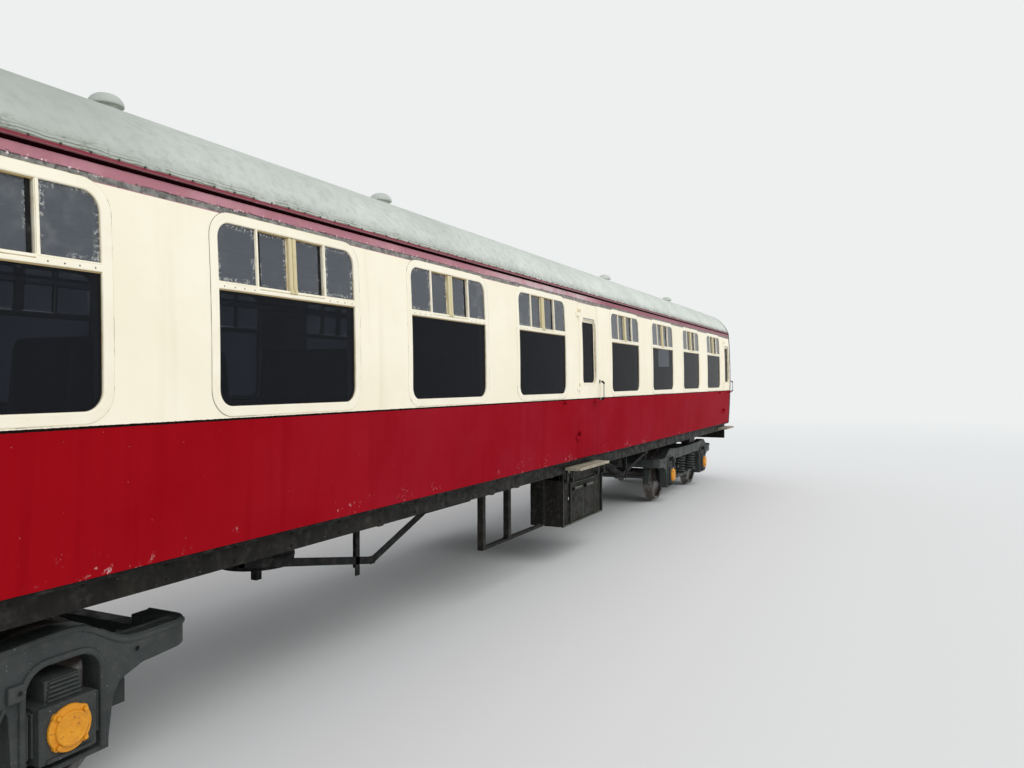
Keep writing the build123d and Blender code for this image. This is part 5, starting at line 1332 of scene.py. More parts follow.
def bogie_details():
    """Beads, lugs and small hole rims of the right side of a bogie, drawn about its middle, with a black disc as
    painted shade inside each hole.
    """
    bm = bmesh.new()
    right_half = [(x, z - 0.014) for x, z in smooth_line(FRAME_TOP)]
    add_bead(bm, [(-x, z) for x, z in reversed(right_half[1:])] + right_half, 0.030, 0.012)
    for end in (-1, 1):
        for line, radius in zip(arm_rims(), (0.0135, 0.0110)):
            add_tube(bm, [(end * x, y, z) for x, y, z in line], radius, 12)
    for end in (-1, 1):
        add_bead(bm, jaw_line(end * AXLE_OFFSET, 0.016), 0.034, 0.018)
        x = end * LUG_OFFSET
        add_block(bm, (x - 0.042, -BOGIE_FACE - 0.026, 0.655 + LIFT), (x + 0.042, -BOGIE_FACE + 0.004, 0.735 + LIFT),
                  0.008, segments=3)
        for hole_x, z, radius, proud in ((x + end * 0.008, 0.698, 0.013, 0.0285), (end * 1.7135, 0.709, 0.014, 0.004)):
            place = moved(hole_x, -BOGIE_FACE, z + LIFT) @ FACING_SIDE
            add_turned(bm, ((radius + 0.006, proud - 0.004), (radius + 0.004, proud), (radius, proud + 0.001),
                            (radius, proud - 0.003)), place, 20)
            # Inside the rim, a black disc: painted shade for the depth of the hole.
            add_turned(bm, ((radius, proud - 0.004), (radius - 0.001, proud - 0.0022), (0.001, proud - 0.0022)), place,
                       20, 1)
        add_bead(bm, [(x - end * 0.17, 0.415), (x - end * 0.045, 0.640)], 0.018, 0.008)
    return mesh_of(bm)


def bogie_piece(body, mesh, ending, material=CASTING, replaced=None, corner=35, places=None):
    materials = material if isinstance(material, list) else [material]
    piece_from(mesh, body + ending, materials, [body + replaced] if replaced else (), corner, body,
               places)


def bogie_copy(body, node, ending, width, segments, sharper_than, corner):
    bm = joined_copy(body + node)
    round_edges(bm, width, segments, sharper_than)
    bogie_piece(body, bm, ending, CASTING, node, corner)


DETAILS = bogie_details()
BOGIE_PLACES = {f"bogie_{name}": [moved(x), MIRROR @ moved(x)] for name, x in BOGIES.items()}
for body, places in BOGIE_PLACES.items():
    bogie_copy(body, "_frame", "_cast", 0.0075, 3, 40, 50)
    bogie_piece(body, DETAILS, "_details", [CASTING, DEEP_BLACK], places=places)

# %% [markdown]
# The axleboxes slide between guides in those openings, under a crown with cast ribs. A round cover, painted
# yellow, closes each one: a flange with four bolts in ears, and a raised disc in the middle. The covers are
# turned shapes, so one profile spun about the axle draws them.

# %% Axleboxes, equaliser beams and covers
COVER = ((0.11, -0.002), (0.1125, 0.002), (0.1125, 0.013), (0.1095, 0.0165), (0.09, 0.0175), (0.086, 0.0195),
         (0.0835, 0.03), (0.08, 0.0335), (0.073, 0.0345), (0.07, 0.0325), (0.067, 0.0315), (0.02, 0.0325),
         (0.017, 0.0365), (0.014, 0.0375), (0.001, 0.0375))
EAR = ((0.021, -0.001), (0.021, 0.018), (0.018, 0.021), (0.001, 0.021))
EARS = [(0.099 * math.cos(a), 0.099 * math.sin(a)) for a in (math.radians(45 + 90 * k) for k in range(4))]
COVER_FACE, BOLT_FACE, DISC_START = 1.098, 1.1235, 1.110


def equaliser_beams(node):
    """The CAD beams with rounded edges and without the plain discs of their covers."""
    bm = joined_copy(node)
    cut_away(bm, [v for v in bm.verts if abs(v.co.y) > DISC_START])
    round_edges(bm, 0.006, 2, 40)
    return bm


def box_details():
    """Crown ribs and guide edges for the two axleboxes of the right side."""
    bm = bmesh.new()
    for end in (-1, 1):
        x = end * AXLE_OFFSET
        for k in range(5):
            z, half = 0.600 + 0.021 * k + LIFT, 0.090 - 0.003 * k
            add_block(bm, (x - half, -1.074, z), (x + half, -1.050, z + 0.010), 0.004)
        for near, far in ((0.151, 0.163), (0.176, 0.189)):
            for side in (-1, 1):
                add_block(bm, (x + side * near, -1.062, 0.36 + LIFT), (x + side * far, -1.030, 0.57 + LIFT), 0.004)
        add_block(bm, (x - 0.118, -1.112, 0.322 + LIFT), (x + 0.118, -1.090, 0.342 + LIFT), 0.006)
    return mesh_of(bm)


def cover_mesh():
    bm = bmesh.new()
    for end in (-1, 1):
        place = moved(end * AXLE_OFFSET, -COVER_FACE, AXLE_HEIGHT) @ FACING_SIDE
        add_turned(bm, COVER, place, 56)
        for u, v in EARS:
            add_turned(bm, EAR, place @ moved(u, v), 18)
    return mesh_of(bm)


BOX_DETAILS, COVERS = box_details(), cover_mesh()
for (body, places), centre in zip(BOGIE_PLACES.items(), BOGIES.values()):
    bogie_piece(body, equaliser_beams(body + "_equalisers"), "_beams", CASTING, "_equalisers", 40)
    bogie_piece(body, BOX_DETAILS, "_box_ribs", places=places)
    bogie_piece(body, COVERS, "_covers", COVER_PAINT, None, 30, places)
    bolts = [((centre + end * AXLE_OFFSET + u, side * BOLT_FACE, AXLE_HEIGHT + v), (0, side, 0))
             for side in (-1, 1) for end in (-1, 1) for u, v in EARS]
    grown_piece(HEADS, bolts, body + "_cover_bolts", "bogie_paint", COVER_PAINT, body=body, Radius=0.0125,
                Height=0.010, Sides=6, Waist=0.92)

# %% [markdown]
# The coil springs are wound from round bar, so they follow a rule exactly: a circle swept along a helix, which the
# second tree of Geometry Nodes does. An inner coil of thinner bar stands in each outer one, on a turned seat.
# A wheelset is a pair of wheels pressed on an axle. All of it is turned on a lathe, and so it is here: one
# profile runs from the end of one journal, over both wheels with their hubs, webs, tyres and flanges, to the
# other end. The polished tread is part of the wear in the steel finish.

# %% Coil springs, wheelsets, brakes and bolsters
SPRING_X, SPRING_Y, SPRING_LOW, SPRING_HIGH = 0.4, 0.985, 0.410 + LIFT, 0.715 + LIFT
COIL_HEIGHT = SPRING_HIGH - SPRING_LOW - 0.032
LOWER_SEAT = ((0.036, -0.002), (0.036, 0.05), (0.030, 0.056), (0.001, 0.056))
UPPER_SEAT = ((0.001, -0.030), (0.112, -0.030), (0.116, -0.026), (0.116, -0.018), (0.044, -0.016), (0.040, 0.001))
HALF_WHEELSET = [
    (0.05, 1.085), (0.062, 1.084), (0.066, 1.079), (0.066, 0.87), (0.072, 0.84), (0.088, 0.836), (0.088, 0.828),
    (0.138, 0.828), (0.145, 0.822), (0.1475, 0.8), (0.17, 0.79), (0.29, 0.774), (0.37, 0.76), (0.39, 0.762),
    (0.395, 0.77), (0.395, 0.81), (0.4, 0.815), (0.404, 0.815), (0.405, 0.8135), (0.406, 0.815), (0.444, 0.815),
    (0.4485, 0.809), (0.45, 0.79), (0.456, 0.72), (0.46, 0.713), (0.47, 0.706), (0.482, 0.7), (0.487, 0.693),
    (0.485, 0.685), (0.475, 0.68), (0.4, 0.68), (0.395, 0.685), (0.392, 0.715), (0.37, 0.725), (0.29, 0.735),
    (0.17, 0.73), (0.15, 0.72), (0.145, 0.648), (0.138, 0.64), (0.092, 0.64), (0.088, 0.634),
]
WHEELSET = HALF_WHEELSET + [(radius, -y) for radius, y in reversed(HALF_WHEELSET)]

for body, (name, centre) in zip(BOGIE_PLACES, BOGIES.items()):
    spots = [(centre + end * SPRING_X, side * SPRING_Y) for end in (-1, 1) for side in (-1, 1)]
    points = [((x, y, SPRING_LOW + 0.016), (0, 0, 1)) for x, y in spots]
    for ending, material, replaced, radius, bar, count in (
            ("_coils", CASTING, [body + "_springs"], 0.0965, 0.0152, 5.6),
            ("_inner_coils", DEEP_BLACK, (), 0.056, 0.0105, 8.4)):
        grown_piece(SPRINGS, points, body + ending, "bogie_paint", material, replaced, 60, body, Radius=radius,
                    Bar=bar, Height=COIL_HEIGHT, Turns=count)
    seats = bmesh.new()
    for x, y in spots:
        add_turned(seats, LOWER_SEAT, moved(x, y, SPRING_LOW), 20)
        add_turned(seats, UPPER_SEAT, moved(x, y, SPRING_HIGH), 40)
    bogie_piece(body, seats, "_spring_seats")
    for where, away in (("outer", 1), ("inner", -1)):
        node = f"wheelset_{name}_{where}"
        wheels = bmesh.new()
        x = centre + math.copysign(AXLE_OFFSET, centre) * away
        add_turned(wheels, WHEELSET, moved(x, 0, AXLE_HEIGHT) @ FACING_SIDE, 80)
        piece_from(wheels, node + "_turned", [WHEEL_STEEL], [node], 32, node)
    bogie_copy(body, "_brakes", "_brake_gear", 0.004, 2, 30, 35)
    bogie_copy(body, "_bolster", "_cross_beam", 0.008, 2, 30, 35)

# %% [markdown]
# ## Body sides, roof and gutters
# The sides, the roof and the gutters keep their CAD shape. Their copies are joined, so the shading runs smoothly
# over the curve, and their edges are rounded by one or two millimetres. The roof sheets are held down along
# the gutter by a row of small bolts, and the ventilators are turned domes with a rolled rim.

# %% Smooth shell, roof bolts and ventilators
for side in ("right", "left"):
    rounded_piece(f"body_side_{side}", f"side_{side}_sheet", BODY_PAINT, 0.0012)
rounded_piece("roof", "roof_skin", ROOF_PAINT, 0)
rounded_piece("cantrails", "gutters", CANTRAIL_PAINT, 0.0010)
for end in ("far", "near"):
    rounded_piece(f"end_wall_{end}", f"end_sheet_{end}", END_PAINT, 0.003)

# The edge of the roof is an arc about (ROOF_SIDE_Y, ROOF_SIDE_Z), and its top is a wider arc.
ROOF_SIDE_RADIUS, ROOF_TOP_RADIUS, ROOF_CREST, ROOF_BEND = 0.730, 2.520, 3.785 + LIFT, math.radians(21.31)
ROOF_SIDE_Y = (ROOF_TOP_RADIUS - ROOF_SIDE_RADIUS) * math.sin(ROOF_BEND)
ROOF_SIDE_Z = ROOF_CREST - ROOF_TOP_RADIUS + (ROOF_TOP_RADIUS - ROOF_SIDE_RADIUS) * math.cos(ROOF_BEND)
BOLT_HEIGHT, BOLT_PITCH, BOLT_MARGIN = 3.207 + LIFT, 0.15, 0.1
VENTS, VENT_Y = (-5.080, -2.250, 3.990, 7.840), 0.450
VENT_PROFILE = (
    (0.078, 3.69), (0.078, 3.742), (0.08, 3.748), (0.072, 3.753), (0.072, 3.782), (0.088, 3.7865), (0.0995, 3.784),
    (0.103, 3.788), (0.1028, 3.795), (0.1, 3.806), (0.093, 3.821), (0.08, 3.837), (0.061, 3.85), (0.038, 3.8575),
    (0.015, 3.8598), (0.001, 3.86),
)

rise = BOLT_HEIGHT - ROOF_SIDE_Z
run = math.sqrt(ROOF_SIDE_RADIUS ** 2 - rise ** 2)
bolts = []
for i in range(int(2 * (HALF_LENGTH - BOLT_MARGIN) / BOLT_PITCH) + 1):
    x = -HALF_LENGTH + BOLT_MARGIN + i * BOLT_PITCH
    bolts += [((x, sign * (ROOF_SIDE_Y + run), BOLT_HEIGHT), Vector((0, sign * run, rise)).normalized())
              for sign in (-1, 1)]
grown_piece(HEADS, bolts, "roof_bolts", "roof_paint", BOLT_PAINT, Radius=0.0065, Height=0.007, Sides=8, Waist=0.75)

vent = bmesh.new()
add_turned(vent, VENT_PROFILE, moved(z=LIFT), 40)
piece_from(vent, "roof_ventilators", [ROOF_PAINT], ["roof_vents"], 40,
           places=[moved(x, sign * VENT_Y) for x in VENTS for sign in (-1, 1)])

# %% [markdown]
# ## Underframe
# The solebar is a rolled steel channel, so its flanges have soft edges, and rivets hold the cross members to it.
# The rivets come from the tree for heads too, with a rounder shape. The battery boxes are folded sheet: two doors
# hang in the middle of each with a dark gap round them, where black plates set back in the gap are painted
# shade, and a long dark catch near the top of each door has an upper edge that is worn bright.

# %% Solebars, rivets and battery boxes
SOLEBAR_FACE, SOLEBAR_LOW, SOLEBAR_HIGH = 1.240, 1.0545 + LIFT, 1.1945 + LIFT
BOX_START, BOX_END, BOX_FACE, BOX_LOW, BOX_HIGH = 0.330, 1.700, -1.200, 0.420 + LIFT, 0.965 + LIFT
DOOR_SPANS = ((0.600, 0.985), (0.995, 1.380))
DOOR_LOW, DOOR_HIGH, CATCH_LOW = BOX_LOW + 0.035, BOX_HIGH - 0.070, BOX_HIGH - 0.145
HANGERS = ((BOX_START + 0.010, BOX_START + 0.075), (0.515, 0.580), (1.400, 1.465), (BOX_END - 0.075, BOX_END - 0.010))

rounded_piece("underframe", "steel_underframe", BLACK_PAINT, 0.0045, 40)
rounded_piece("floor", "floor_plates", DEEP_BLACK, 0)
rivets = [((i * BAY_PITCH / 4, sign * (SOLEBAR_FACE + 0.002), height), (0, sign, 0)) for i in range(-19, 20)
          for sign in (-1, 1) for height in (SOLEBAR_LOW + 0.030, SOLEBAR_HIGH - 0.030)]
grown_piece(HEADS, rivets, "solebar_rivets", "black_paint", BLACK_PAINT, Radius=0.011, Height=0.008, Waist=0.6)


def battery_fittings():
    """Catches, hinges, edge trims, hangers and the dark gaps round the doors of one box, on the right side; black
    plates set back in the gaps are painted shade.
    """
    bm = bmesh.new()

    def plate(x0, x1, out, back, z0, z1, rounding, material):
        """A block whose faces lie out from and back from the face of the box."""
        add_block(bm, (x0, BOX_FACE - out, z0), (x1, BOX_FACE + back, z1), rounding, material=material)

    for left, right in DOOR_SPANS:
        middle = (left + right) / 2
        # Black plates set back in the gaps beside and below each door: painted shade.
        for x in (left - 0.006, right + 0.001):
            plate(x, x + 0.005, -0.0120, 0.0145, DOOR_LOW, DOOR_HIGH, 0, 2)
        plate(left, right, -0.0120, 0.0145, DOOR_LOW - 0.008, DOOR_LOW, 0, 2)
        plate(left, right, 0.010, 0.004, DOOR_HIGH + 0.004, DOOR_HIGH + 0.016, 0.003, 3)
        for x in (left + 0.001, right - 0.007):
            plate(x, x + 0.006, 0.0035, 0.002, DOOR_LOW + 0.001, DOOR_HIGH - 0.001, 0.001, 3)
        for z in (DOOR_LOW + 0.04, DOOR_LOW + 0.24):
            plate(left + 0.02, left + 0.10, 0.006, 0.002, z, z + 0.022, 0.003, 0)
        plate(middle - 0.152, middle + 0.152, 0.0235, 0.002, CATCH_LOW + 0.002, CATCH_LOW + 0.0275, 0.004, 3)
        plate(middle - 0.150, middle + 0.150, 0.0225, 0, CATCH_LOW + 0.0262, CATCH_LOW + 0.0292, 0.001, 1)
        for x in (middle - 0.140, middle + 0.140):
            plate(x - 0.012, x + 0.012, 0.026, 0.002, CATCH_LOW - 0.006, CATCH_LOW + 0.032, 0.003, 0)
    for x in (BOX_START - 0.004, DOOR_SPANS[0][0] - 0.040, DOOR_SPANS[1][1] + 0.016, BOX_END - 0.026):
        plate(x, x + 0.030, 0.006, 0.016, BOX_LOW - 0.004, BOX_HIGH + 0.050, 0.004, 0)
        plate(x + 0.001, x + 0.005, 0.0075, -0.004, BOX_LOW, BOX_HIGH + 0.045, 0, 3)
    plate(BOX_START, BOX_END, 0.004, 0.012, BOX_LOW - 0.005, BOX_LOW + 0.012, 0.004, 3)
    for x0, x1 in HANGERS:
        add_block(bm, (x0, -SOLEBAR_FACE - 0.008, BOX_HIGH - 0.030), (x1, BOX_FACE + 0.002, BOX_HIGH + 0.006), 0.004)
        add_block(bm, (x0, -SOLEBAR_FACE - 0.010, BOX_HIGH - 0.030), (x1, -SOLEBAR_FACE + 0.001, SOLEBAR_LOW + 0.048),
                  0.003)
    plate(0.470, 0.486, 0.012, 0.002, BOX_LOW + 0.305, BOX_LOW + 0.338, 0.003, 1)
    return bm


rounded_piece("battery_boxes", "battery_cases", BLACK_PAINT, 0.004, 40)
piece_from(battery_fittings(), "battery_doors", [BLACK_PAINT, BRIGHT_STEEL, DEEP_BLACK, BOLT_PAINT],
           places=BOTH_SIDES)

# %% [markdown]
# The footsteps are planks that have stood outdoors for years: their edges have worn away unevenly, and their ends
# are split. The copy is cut into short lengths, and each point of the outer edge is moved by a small amount of
# smooth noise. Below them hang the trusses, the open frames and the drums of the vacuum brake. The photo shows
# daylight beside the bogie, where the CAD truss and drum hang low: so the truss is drawn with a bar that rises
# from its foot to the bogie, and the drum is made shallower.

# %% Steps, trusses, frames and brake drums
TRUSS_Y, TRUSS_PLATE, TRUSS_LEG, TRUSS_HEIGHT = 1.000, 0.010, 0.055, 0.058
TRUSS_FOOT, TRUSS_END, TRUSS_PEAK = (3.170, 0.700 + LIFT), (4.590, 0.965 + LIFT), (2.170, 1.052 + LIFT)
DRUM_X, DRUM_Y, DRUM_LIFT_BELOW = 3.8774, 0.480, (0.90, 0.160)
BAND_PROFILE = ((0.266, 0), (0.2735, 0.003), (0.2755, 0.010), (0.2755, 0.026), (0.2735, 0.033), (0.266, 0.036))


def worn_planks():
    bm = joined_copy("footsteps")
    planks = [e for e in bm.edges if abs(e.verts[0].co.x - e.verts[1].co.x) > 0.3]
    bmesh.ops.subdivide_edges(bm, edges=planks, cuts=47, use_grid_fill=True)
    for vertex in bm.verts:
        if abs(vertex.co.y) > 1.40:
            wave = noise.noise(vertex.co * 23) * 0.004 + noise.noise(vertex.co * 71) * 0.0025
            vertex.co.y -= math.copysign(abs(wave), vertex.co.y)
            vertex.co.z += noise.noise(vertex.co * 17) * 0.0015
    round_edges(bm, 0.0022, 1, 50)
    return bm


def angle_bar(bm, start, end):
    """A rolled angle in the plane of the truss: an upright leg on its lower line and a leg that lies inwards."""
    first, last = (Vector((x, -TRUSS_Y, z)) for x, z in (start, end))
    thin = (last - first).normalized().cross(Vector((0, 1, 0)))
    thin *= math.copysign(TRUSS_PLATE, thin.z) / thin.length
    upright = Vector((0, 0, TRUSS_HEIGHT))
    for wide, deep in ((upright, Vector((0, -TRUSS_PLATE, 0))), (thin, Vector((0, TRUSS_LEG, 0)))):
        ring = [first, last, last + wide, first + wide]
        add_part(bm, closed_skin([ring, [corner + deep for corner in ring]]))


def truss():
    """One truss: the brace down to its foot, the bar that rises to the bogie, two posts and a plate."""
    bm = bmesh.new()
    angle_bar(bm, TRUSS_FOOT, TRUSS_END)
    angle_bar(bm, TRUSS_PEAK, TRUSS_FOOT)
    for x, low, width in ((3.335, 0.650 + LIFT, 0.052), (4.536, 0.955 + LIFT, 0.055)):
        add_block(bm, (x, -TRUSS_Y - TRUSS_PLATE, low), (x + width, -TRUSS_Y, SOLEBAR_LOW + 0.006), 0.0015)
        add_block(bm, (x, -TRUSS_Y, low + 0.05), (x + 0.010, -TRUSS_Y + 0.05, SOLEBAR_LOW + 0.006), 0.0015)
    add_block(bm, (3.140, -TRUSS_Y - 0.015, 0.702 + LIFT), (3.205, -TRUSS_Y - 0.004, 0.765 + LIFT), 0.003)
    for x in (2.140, 3.335, 4.530):
        add_block(bm, (x, -SOLEBAR_FACE + 0.010, SOLEBAR_LOW - 0.010),
                  (x + 0.060, -TRUSS_Y + 0.002, SOLEBAR_LOW + 0.001), 0.002)
    return bm


piece_from(worn_planks(), "step_planks", [STEP_WOOD], ["footsteps"], 40)
# The trusses take the darker black as painted shade, since they hang in the shade under the coach.
piece_from(truss(), "trusses", [DEEP_BLACK], ["truss_frames"], 40, places=FOUR_CORNERS)
rounded_piece("hung_frames", "open_frames", BLACK_PAINT, 0.0018, 40)
rounded_piece("pipe_stubs", "pipe_ends", DEEP_BLACK, 0.003, 40)
rounded_piece("brake_cylinders", "brake_drums", DEEP_BLACK, 0.010, 30, DRUM_LIFT_BELOW)

bands = bmesh.new()
for z in (0.845 + LIFT, 0.950 + LIFT):
    add_turned(bands, BAND_PROFILE, moved(DRUM_X, DRUM_Y, z), 48)
piece_from(bands, "drum_bands", [BLACK_PAINT], places=FOUR_CORNERS)

# %% [markdown]
# ## Ends of the coach
# The gangway is a concertina of coated cloth on steel frames, with a flat rubbing plate at its outer end. Its
# pleats follow a rule: the outline of the doorway is drawn again and again along the coach, and each time it is
# set in or out by a rounded wave. The inner skin does the same the other way round.

# %% Gangway bellows and faceplates
GANGWAY = (0.560, 1.190 + LIFT, 3.400 + LIFT, 0.260)  # half width, low, high, corner
PASSAGE = (0.360, 1.280 + LIFT, 3.180 + LIFT, 0.120)
BELLOWS_LENGTH, FOLDS, STEPS_PER_FOLD, FOLD_DEPTH = 0.318, 6, 8, 0.050


def doorway_line(half, low, high, corner):
    """An outline with a flat foot and rounded top corners, as (y, z) points that match between outlines."""
    arc = [(corner * math.cos(a), corner * math.sin(a)) for a in (math.radians(90 * k / 8) for k in range(1, 9))]
    line = [(-half + 2 * half * k / 6, low) for k in range(7)]
    line += [(half, low + (high - corner - low) * k / 8) for k in range(1, 9)]
    line += [(half - corner + u, high - corner + v) for u, v in arc]
    line += [(half - corner - 2 * (half - corner) * k / 6, high) for k in range(1, 7)]
    line += [(-half + corner - v, high - corner + u) for u, v in arc]
    return line + [(-half, high - corner - (high - corner - low) * k / 8) for k in range(1, 8)]


def bellows_mesh():
    outer, inner = [], []
    for i in range(FOLDS * STEPS_PER_FOLD + 1):
        x = HALF_LENGTH + BELLOWS_LENGTH * i / (FOLDS * STEPS_PER_FOLD)
        wave = 0.5 - 0.5 * math.cos(math.tau * i / STEPS_PER_FOLD)
        inset, spread = 0.016 + FOLD_DEPTH * wave ** 0.6, 0.002 + FOLD_DEPTH * 0.6 * (1 - wave) ** 0.6
        for rows, (half, low, high, corner), out, drop in ((outer, GANGWAY, -inset, inset * 0.35),
                                                           (inner, PASSAGE, spread, -0.001)):
            rows.append([(x, y, z) for y, z in doorway_line(half + out, low + drop, high + out, corner + out)])
    bm = bmesh.new()
    add_strip(bm, outer + inner[::-1], closed=True)
    bmesh.ops.recalc_face_normals(bm, faces=bm.faces)
    if bm.calc_volume(signed=True) < 0:
        bmesh.ops.reverse_faces(bm, faces=bm.faces[:])
    return mesh_of(bm)


BELLOWS = bellows_mesh()
for end, place in (("far", SAME), ("near", MIRROR_END)):
    piece_from(BELLOWS, f"bellows_{end}", [BELLOWS_CLOTH], [f"gangway_bellows_{end}"], 60,
               places=[place])
rounded_piece("gangway_faceplates", "rubbing_plates", END_PAINT, 0.006, 40)

# %% [markdown]
# A buffer is turned too: a ribbed housing on a square plate with four bolts, a greased ram, and an oval head
# with a slightly domed face. The coupler is a rough casting with well rounded corners. Handrails and steps for
# the shunter are bent round bar.

# %% Buffers, couplers and end rails
BUFFER_Y, BUFFER_Z, HEAD_WIDTH, HEAD_HEIGHT = 0.8635, 1.054 + LIFT, 0.300, 0.170
BUFFER_PROFILE = (
    (0.15, -0.001), (0.15, 0.018), (0.128, 0.026), (0.12, 0.036), (0.117, 0.08), (0.1195, 0.086), (0.1195, 0.1),
    (0.116, 0.106), (0.112, 0.158), (0.118, 0.16), (0.119, 0.168), (0.112, 0.171), (0.08, 0.171), (0.078, 0.176),
    (0.078, 0.25), (0.09, 0.262), (0.13, 0.268), (0.001, 0.269),
)
HEAD_PROFILE = ((0.30, 0.262), (0.94, 0.268), (0.985, 0.271), (1.0, 0.276), (0.995, 0.284), (0.97, 0.289),
                (0.90, 0.2925), (0.70, 0.2965), (0.40, 0.2990), (0.15, 0.2998))
RAIL_FOOT, RAIL_Y, STEP_Y = HALF_LENGTH - 0.004, 0.95, 1.17


def buffer_mesh():
    bm = bmesh.new()
    place = moved(HALF_LENGTH, BUFFER_Y, BUFFER_Z)
    add_turned(bm, BUFFER_PROFILE, place @ Matrix.Rotation(math.pi / 2, 4, "Y"), 48)
    rings = [[place @ Vector((x, HEAD_WIDTH * share * math.cos(a), HEAD_HEIGHT * share * math.sin(a)))
              for a in turns(56)] for share, x in HEAD_PROFILE]
    add_part(bm, closed_skin(rings), material=1)
    add_block(bm, (HALF_LENGTH - 0.001, BUFFER_Y - 0.160, BUFFER_Z - 0.160),
              (HALF_LENGTH + 0.025, BUFFER_Y + 0.160, BODY_BOTTOM - 0.021), 0.006)
    return bm


piece_from(buffer_mesh(), "buffer_gear", [BLACK_PAINT, BUFFER_STEEL], ["buffers"], 40,
           places=FOUR_CORNERS)
rounded_piece("couplers", "coupler_castings", BUFFER_STEEL, 0.012, 40)
plate_bolts = [((end * (HALF_LENGTH + 0.030), sign * BUFFER_Y + u, BUFFER_Z + v), (end, 0, 0))
               for end in (-1, 1) for sign in (-1, 1) for u in (-0.13, 0.13) for v in (-0.1245, 0.1005)]
grown_piece(HEADS, plate_bolts, "buffer_bolts", "steel_castings", BUFFER_STEEL, Radius=0.016, Height=0.012, Sides=6,
            Waist=0.95)

rails = bmesh.new()
rail = ((0, 1.55), (0.045, 1.55), (0.06, 1.565), (0.06, 2.185), (0.045, 2.20), (0, 2.20))
step = ((0, -0.13), (0.09, -0.13), (0.10, -0.12), (0.10, 0.10), (0.09, 0.11), (0, 0.11))
for sign in (-1, 1):
    add_tube(rails, [(RAIL_FOOT + out, sign * RAIL_Y, z) for out, z in rail], 0.011, 12)
    for z in (1.42, 1.84, 2.26, 2.68):
        add_tube(rails, [(RAIL_FOOT + out, sign * STEP_Y + u, z) for out, u in step], 0.010, 10)
piece_from(rails, "end_rails", [BLACK_PAINT], (), 40, places=[SAME, MIRROR_END])

# %% [markdown]
# ## Inside the saloon
# The seats show dimly through the glass. A sprung cushion is stuffed until its top crowns and its sides bulge
# between the corners. Cloth simulation makes that shape: a slightly smaller block is remeshed, blown up with
# pressure for twenty frames, and no point may move further than a set distance. One cushion and one back are
# made that way, then thinned and copied to every seat.

# %% Stuffed cushions and backs
BACK_END = (BAY_PITCH - 0.002) / 2
BACK_FRONT = BACK_END - 0.168
CUSHION_FRONT = BACK_FRONT - 0.450
SEAT_INNER, SEAT_MIDDLE, SEAT_WIDTH = 0.255, 0.750, 0.495
CUSHION_OUTLINE = ((CUSHION_FRONT + 0.014, 1.571), (CUSHION_FRONT + 0.014, 1.668), (CUSHION_FRONT + 0.046, 1.698),
                   (BACK_FRONT - 0.010, 1.676), (BACK_FRONT - 0.010, 1.571))
BACK_OUTLINE = ((BACK_FRONT + 0.012, 1.575), (BACK_FRONT + 0.012, 1.720), (BACK_FRONT + 0.070, 2.335),
                (BACK_FRONT + 0.096, 2.384), (BACK_END - 0.044, 2.384), (BACK_END - 0.044, 1.575))
FINE_VOXEL, COARSE_VOXEL, CLOTH_FRAMES, PRESSURE, FACES_KEPT = 0.009, 0.030, 20, 4, 1400


def blown_up(mesh, most, name):
    """Blow a mesh up as cloth under pressure, hold each point within a distance, and thin the result."""
    start = [vertex.co.copy() for vertex in mesh.vertices]
    holder = held(mesh, name)
    cloth = holder.modifiers.new("cloth", "CLOTH")
    cloth.settings.use_pressure = True
    cloth.settings.uniform_pressure_force = PRESSURE
    cloth.settings.effector_weights.gravity = 0
    cloth.point_cache.frame_start, cloth.point_cache.frame_end = 1, CLOTH_FRAMES
    for step in range(1, CLOTH_FRAMES + 1):
        bpy.context.scene.frame_set(step)
    mesh = baked(holder, name)
    bpy.context.scene.frame_set(1)
    for vertex, before in zip(mesh.vertices, start):
        move = vertex.co - before
        if move.length > most:
            vertex.co = before + move * (most / move.length)
    holder = held(mesh, name)
    holder.modifiers.new("smooth", "SMOOTH").iterations = 3
    thin = holder.modifiers.new("thin", "DECIMATE")
    thin.ratio = FACES_KEPT / max(FACES_KEPT, 2 * len(mesh.polygons))
    return baked(holder, name)


def stuffed(outline, y0, y1, most, name):
    """Stuff a block with this (x, z) outline like a cushion. No point moves further than most."""
    bm = closed_skin([[(x, y, z + LIFT) for x, z in outline] for y in (y0 + 0.010, y1 - 0.010)])
    round_edges(bm, 0.018, 3, 20)
    holder = held(mesh_of(bm), name)
    remesh = holder.modifiers.new("remesh", "REMESH")
    remesh.mode = "VOXEL"
    remesh.voxel_size = FINE_VOXEL
    mesh = baked(holder, name)
    mesh = blown_up(mesh, most, name)
    low, high = size_of(mesh.vertices)
    print(name, "measures", [round(v, 3) for v in high - low], "with", len(mesh.polygons), "faces")
    return mesh


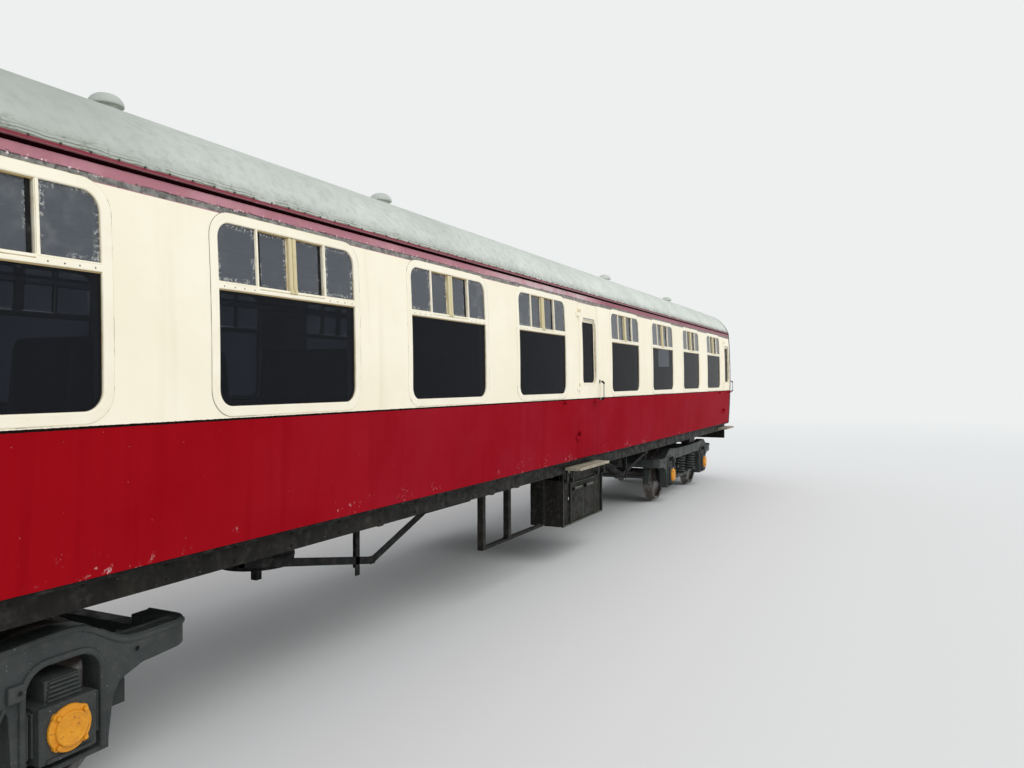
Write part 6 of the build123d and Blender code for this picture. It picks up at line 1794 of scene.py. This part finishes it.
seats = [moved(x) @ Matrix.Diagonal((end, sign, 1, 1)) for x in WINDOWS for end in (-1, 1) for sign in (-1, 1)]
seats += [place @ moved(y=SEAT_WIDTH) for place in seats]
for name, outline, most, replaced in (("seat_cushions", CUSHION_OUTLINE, 0.014, ["seat_pads"]),
                                      ("seat_backs", BACK_OUTLINE, 0.011, ())):
    one = stuffed(outline, SEAT_INNER, SEAT_MIDDLE, most, name + "_one")
    piece_from(one, name, [SEAT_CLOTH], replaced, 80, places=seats)

# %% [markdown]
# Luggage racks are light alloy: a rail along the front and the back, brackets, and a floor of thin bars. Bars
# that repeat along a rail are one more rule for Geometry Nodes, so the third tree sets a bar on each point of a
# row.

# %% Racks, tables, seat ends and partitions
RACK_LOW = 2.880 + LIFT
RACK_OUTER = side_y(RACK_LOW + 0.03) - 0.077
RACK_INNER = RACK_OUTER - 0.380
RACK_RUNS = ((-7.381, 0.371), (1.269, 9.021))
BAR_PITCH, BAR_MARGIN, BRACKETS = 0.055, 0.03, 8

bars = []
rack = bmesh.new()
for x0, x1 in RACK_RUNS:
    run = x1 - x0 - 2 * BAR_MARGIN
    count = int(run / BAR_PITCH)
    bars += [((x0 + BAR_MARGIN + i * run / count, sign * (RACK_INNER + 0.004), RACK_LOW + 0.010), (0, sign, 0))
             for i in range(count + 1) for sign in (-1, 1)]
    for y in (RACK_INNER + 0.009, RACK_OUTER - 0.010):
        add_tube(rack, [(x0 + 0.002, -y, RACK_LOW + 0.014), (x1 - 0.002, -y, RACK_LOW + 0.014)], 0.0085, 12)
    add_block(rack, (x0 + 0.002, -RACK_INNER - 0.003, RACK_LOW + 0.016), (x1 - 0.002, -RACK_INNER, RACK_LOW + 0.030),
              0.0012)
    for i in range(BRACKETS + 1):
        x = x0 + 0.02 + (x1 - x0 - 0.04) * i / BRACKETS
        add_block(rack, (x - 0.009, -RACK_OUTER, RACK_LOW), (x + 0.009, -RACK_INNER, RACK_LOW + 0.009), 0.003)
grown_piece(BARS, bars, "rack_bars", "rack_metal", RACK_METAL, ["luggage_racks"], 60, Radius=0.0028, Length=0.372)
piece_from(rack, "rack_rails", [RACK_METAL], (), 40, places=BOTH_SIDES)
rounded_piece("tables", "table_tops", TABLE_WOOD, 0.006, 40)
rounded_piece("seat_frames", "seat_ends", DEEP_BLACK, 0.006, 40)
rounded_piece("partitions", "inner_walls", PANEL_WOOD, 0.003, 40)
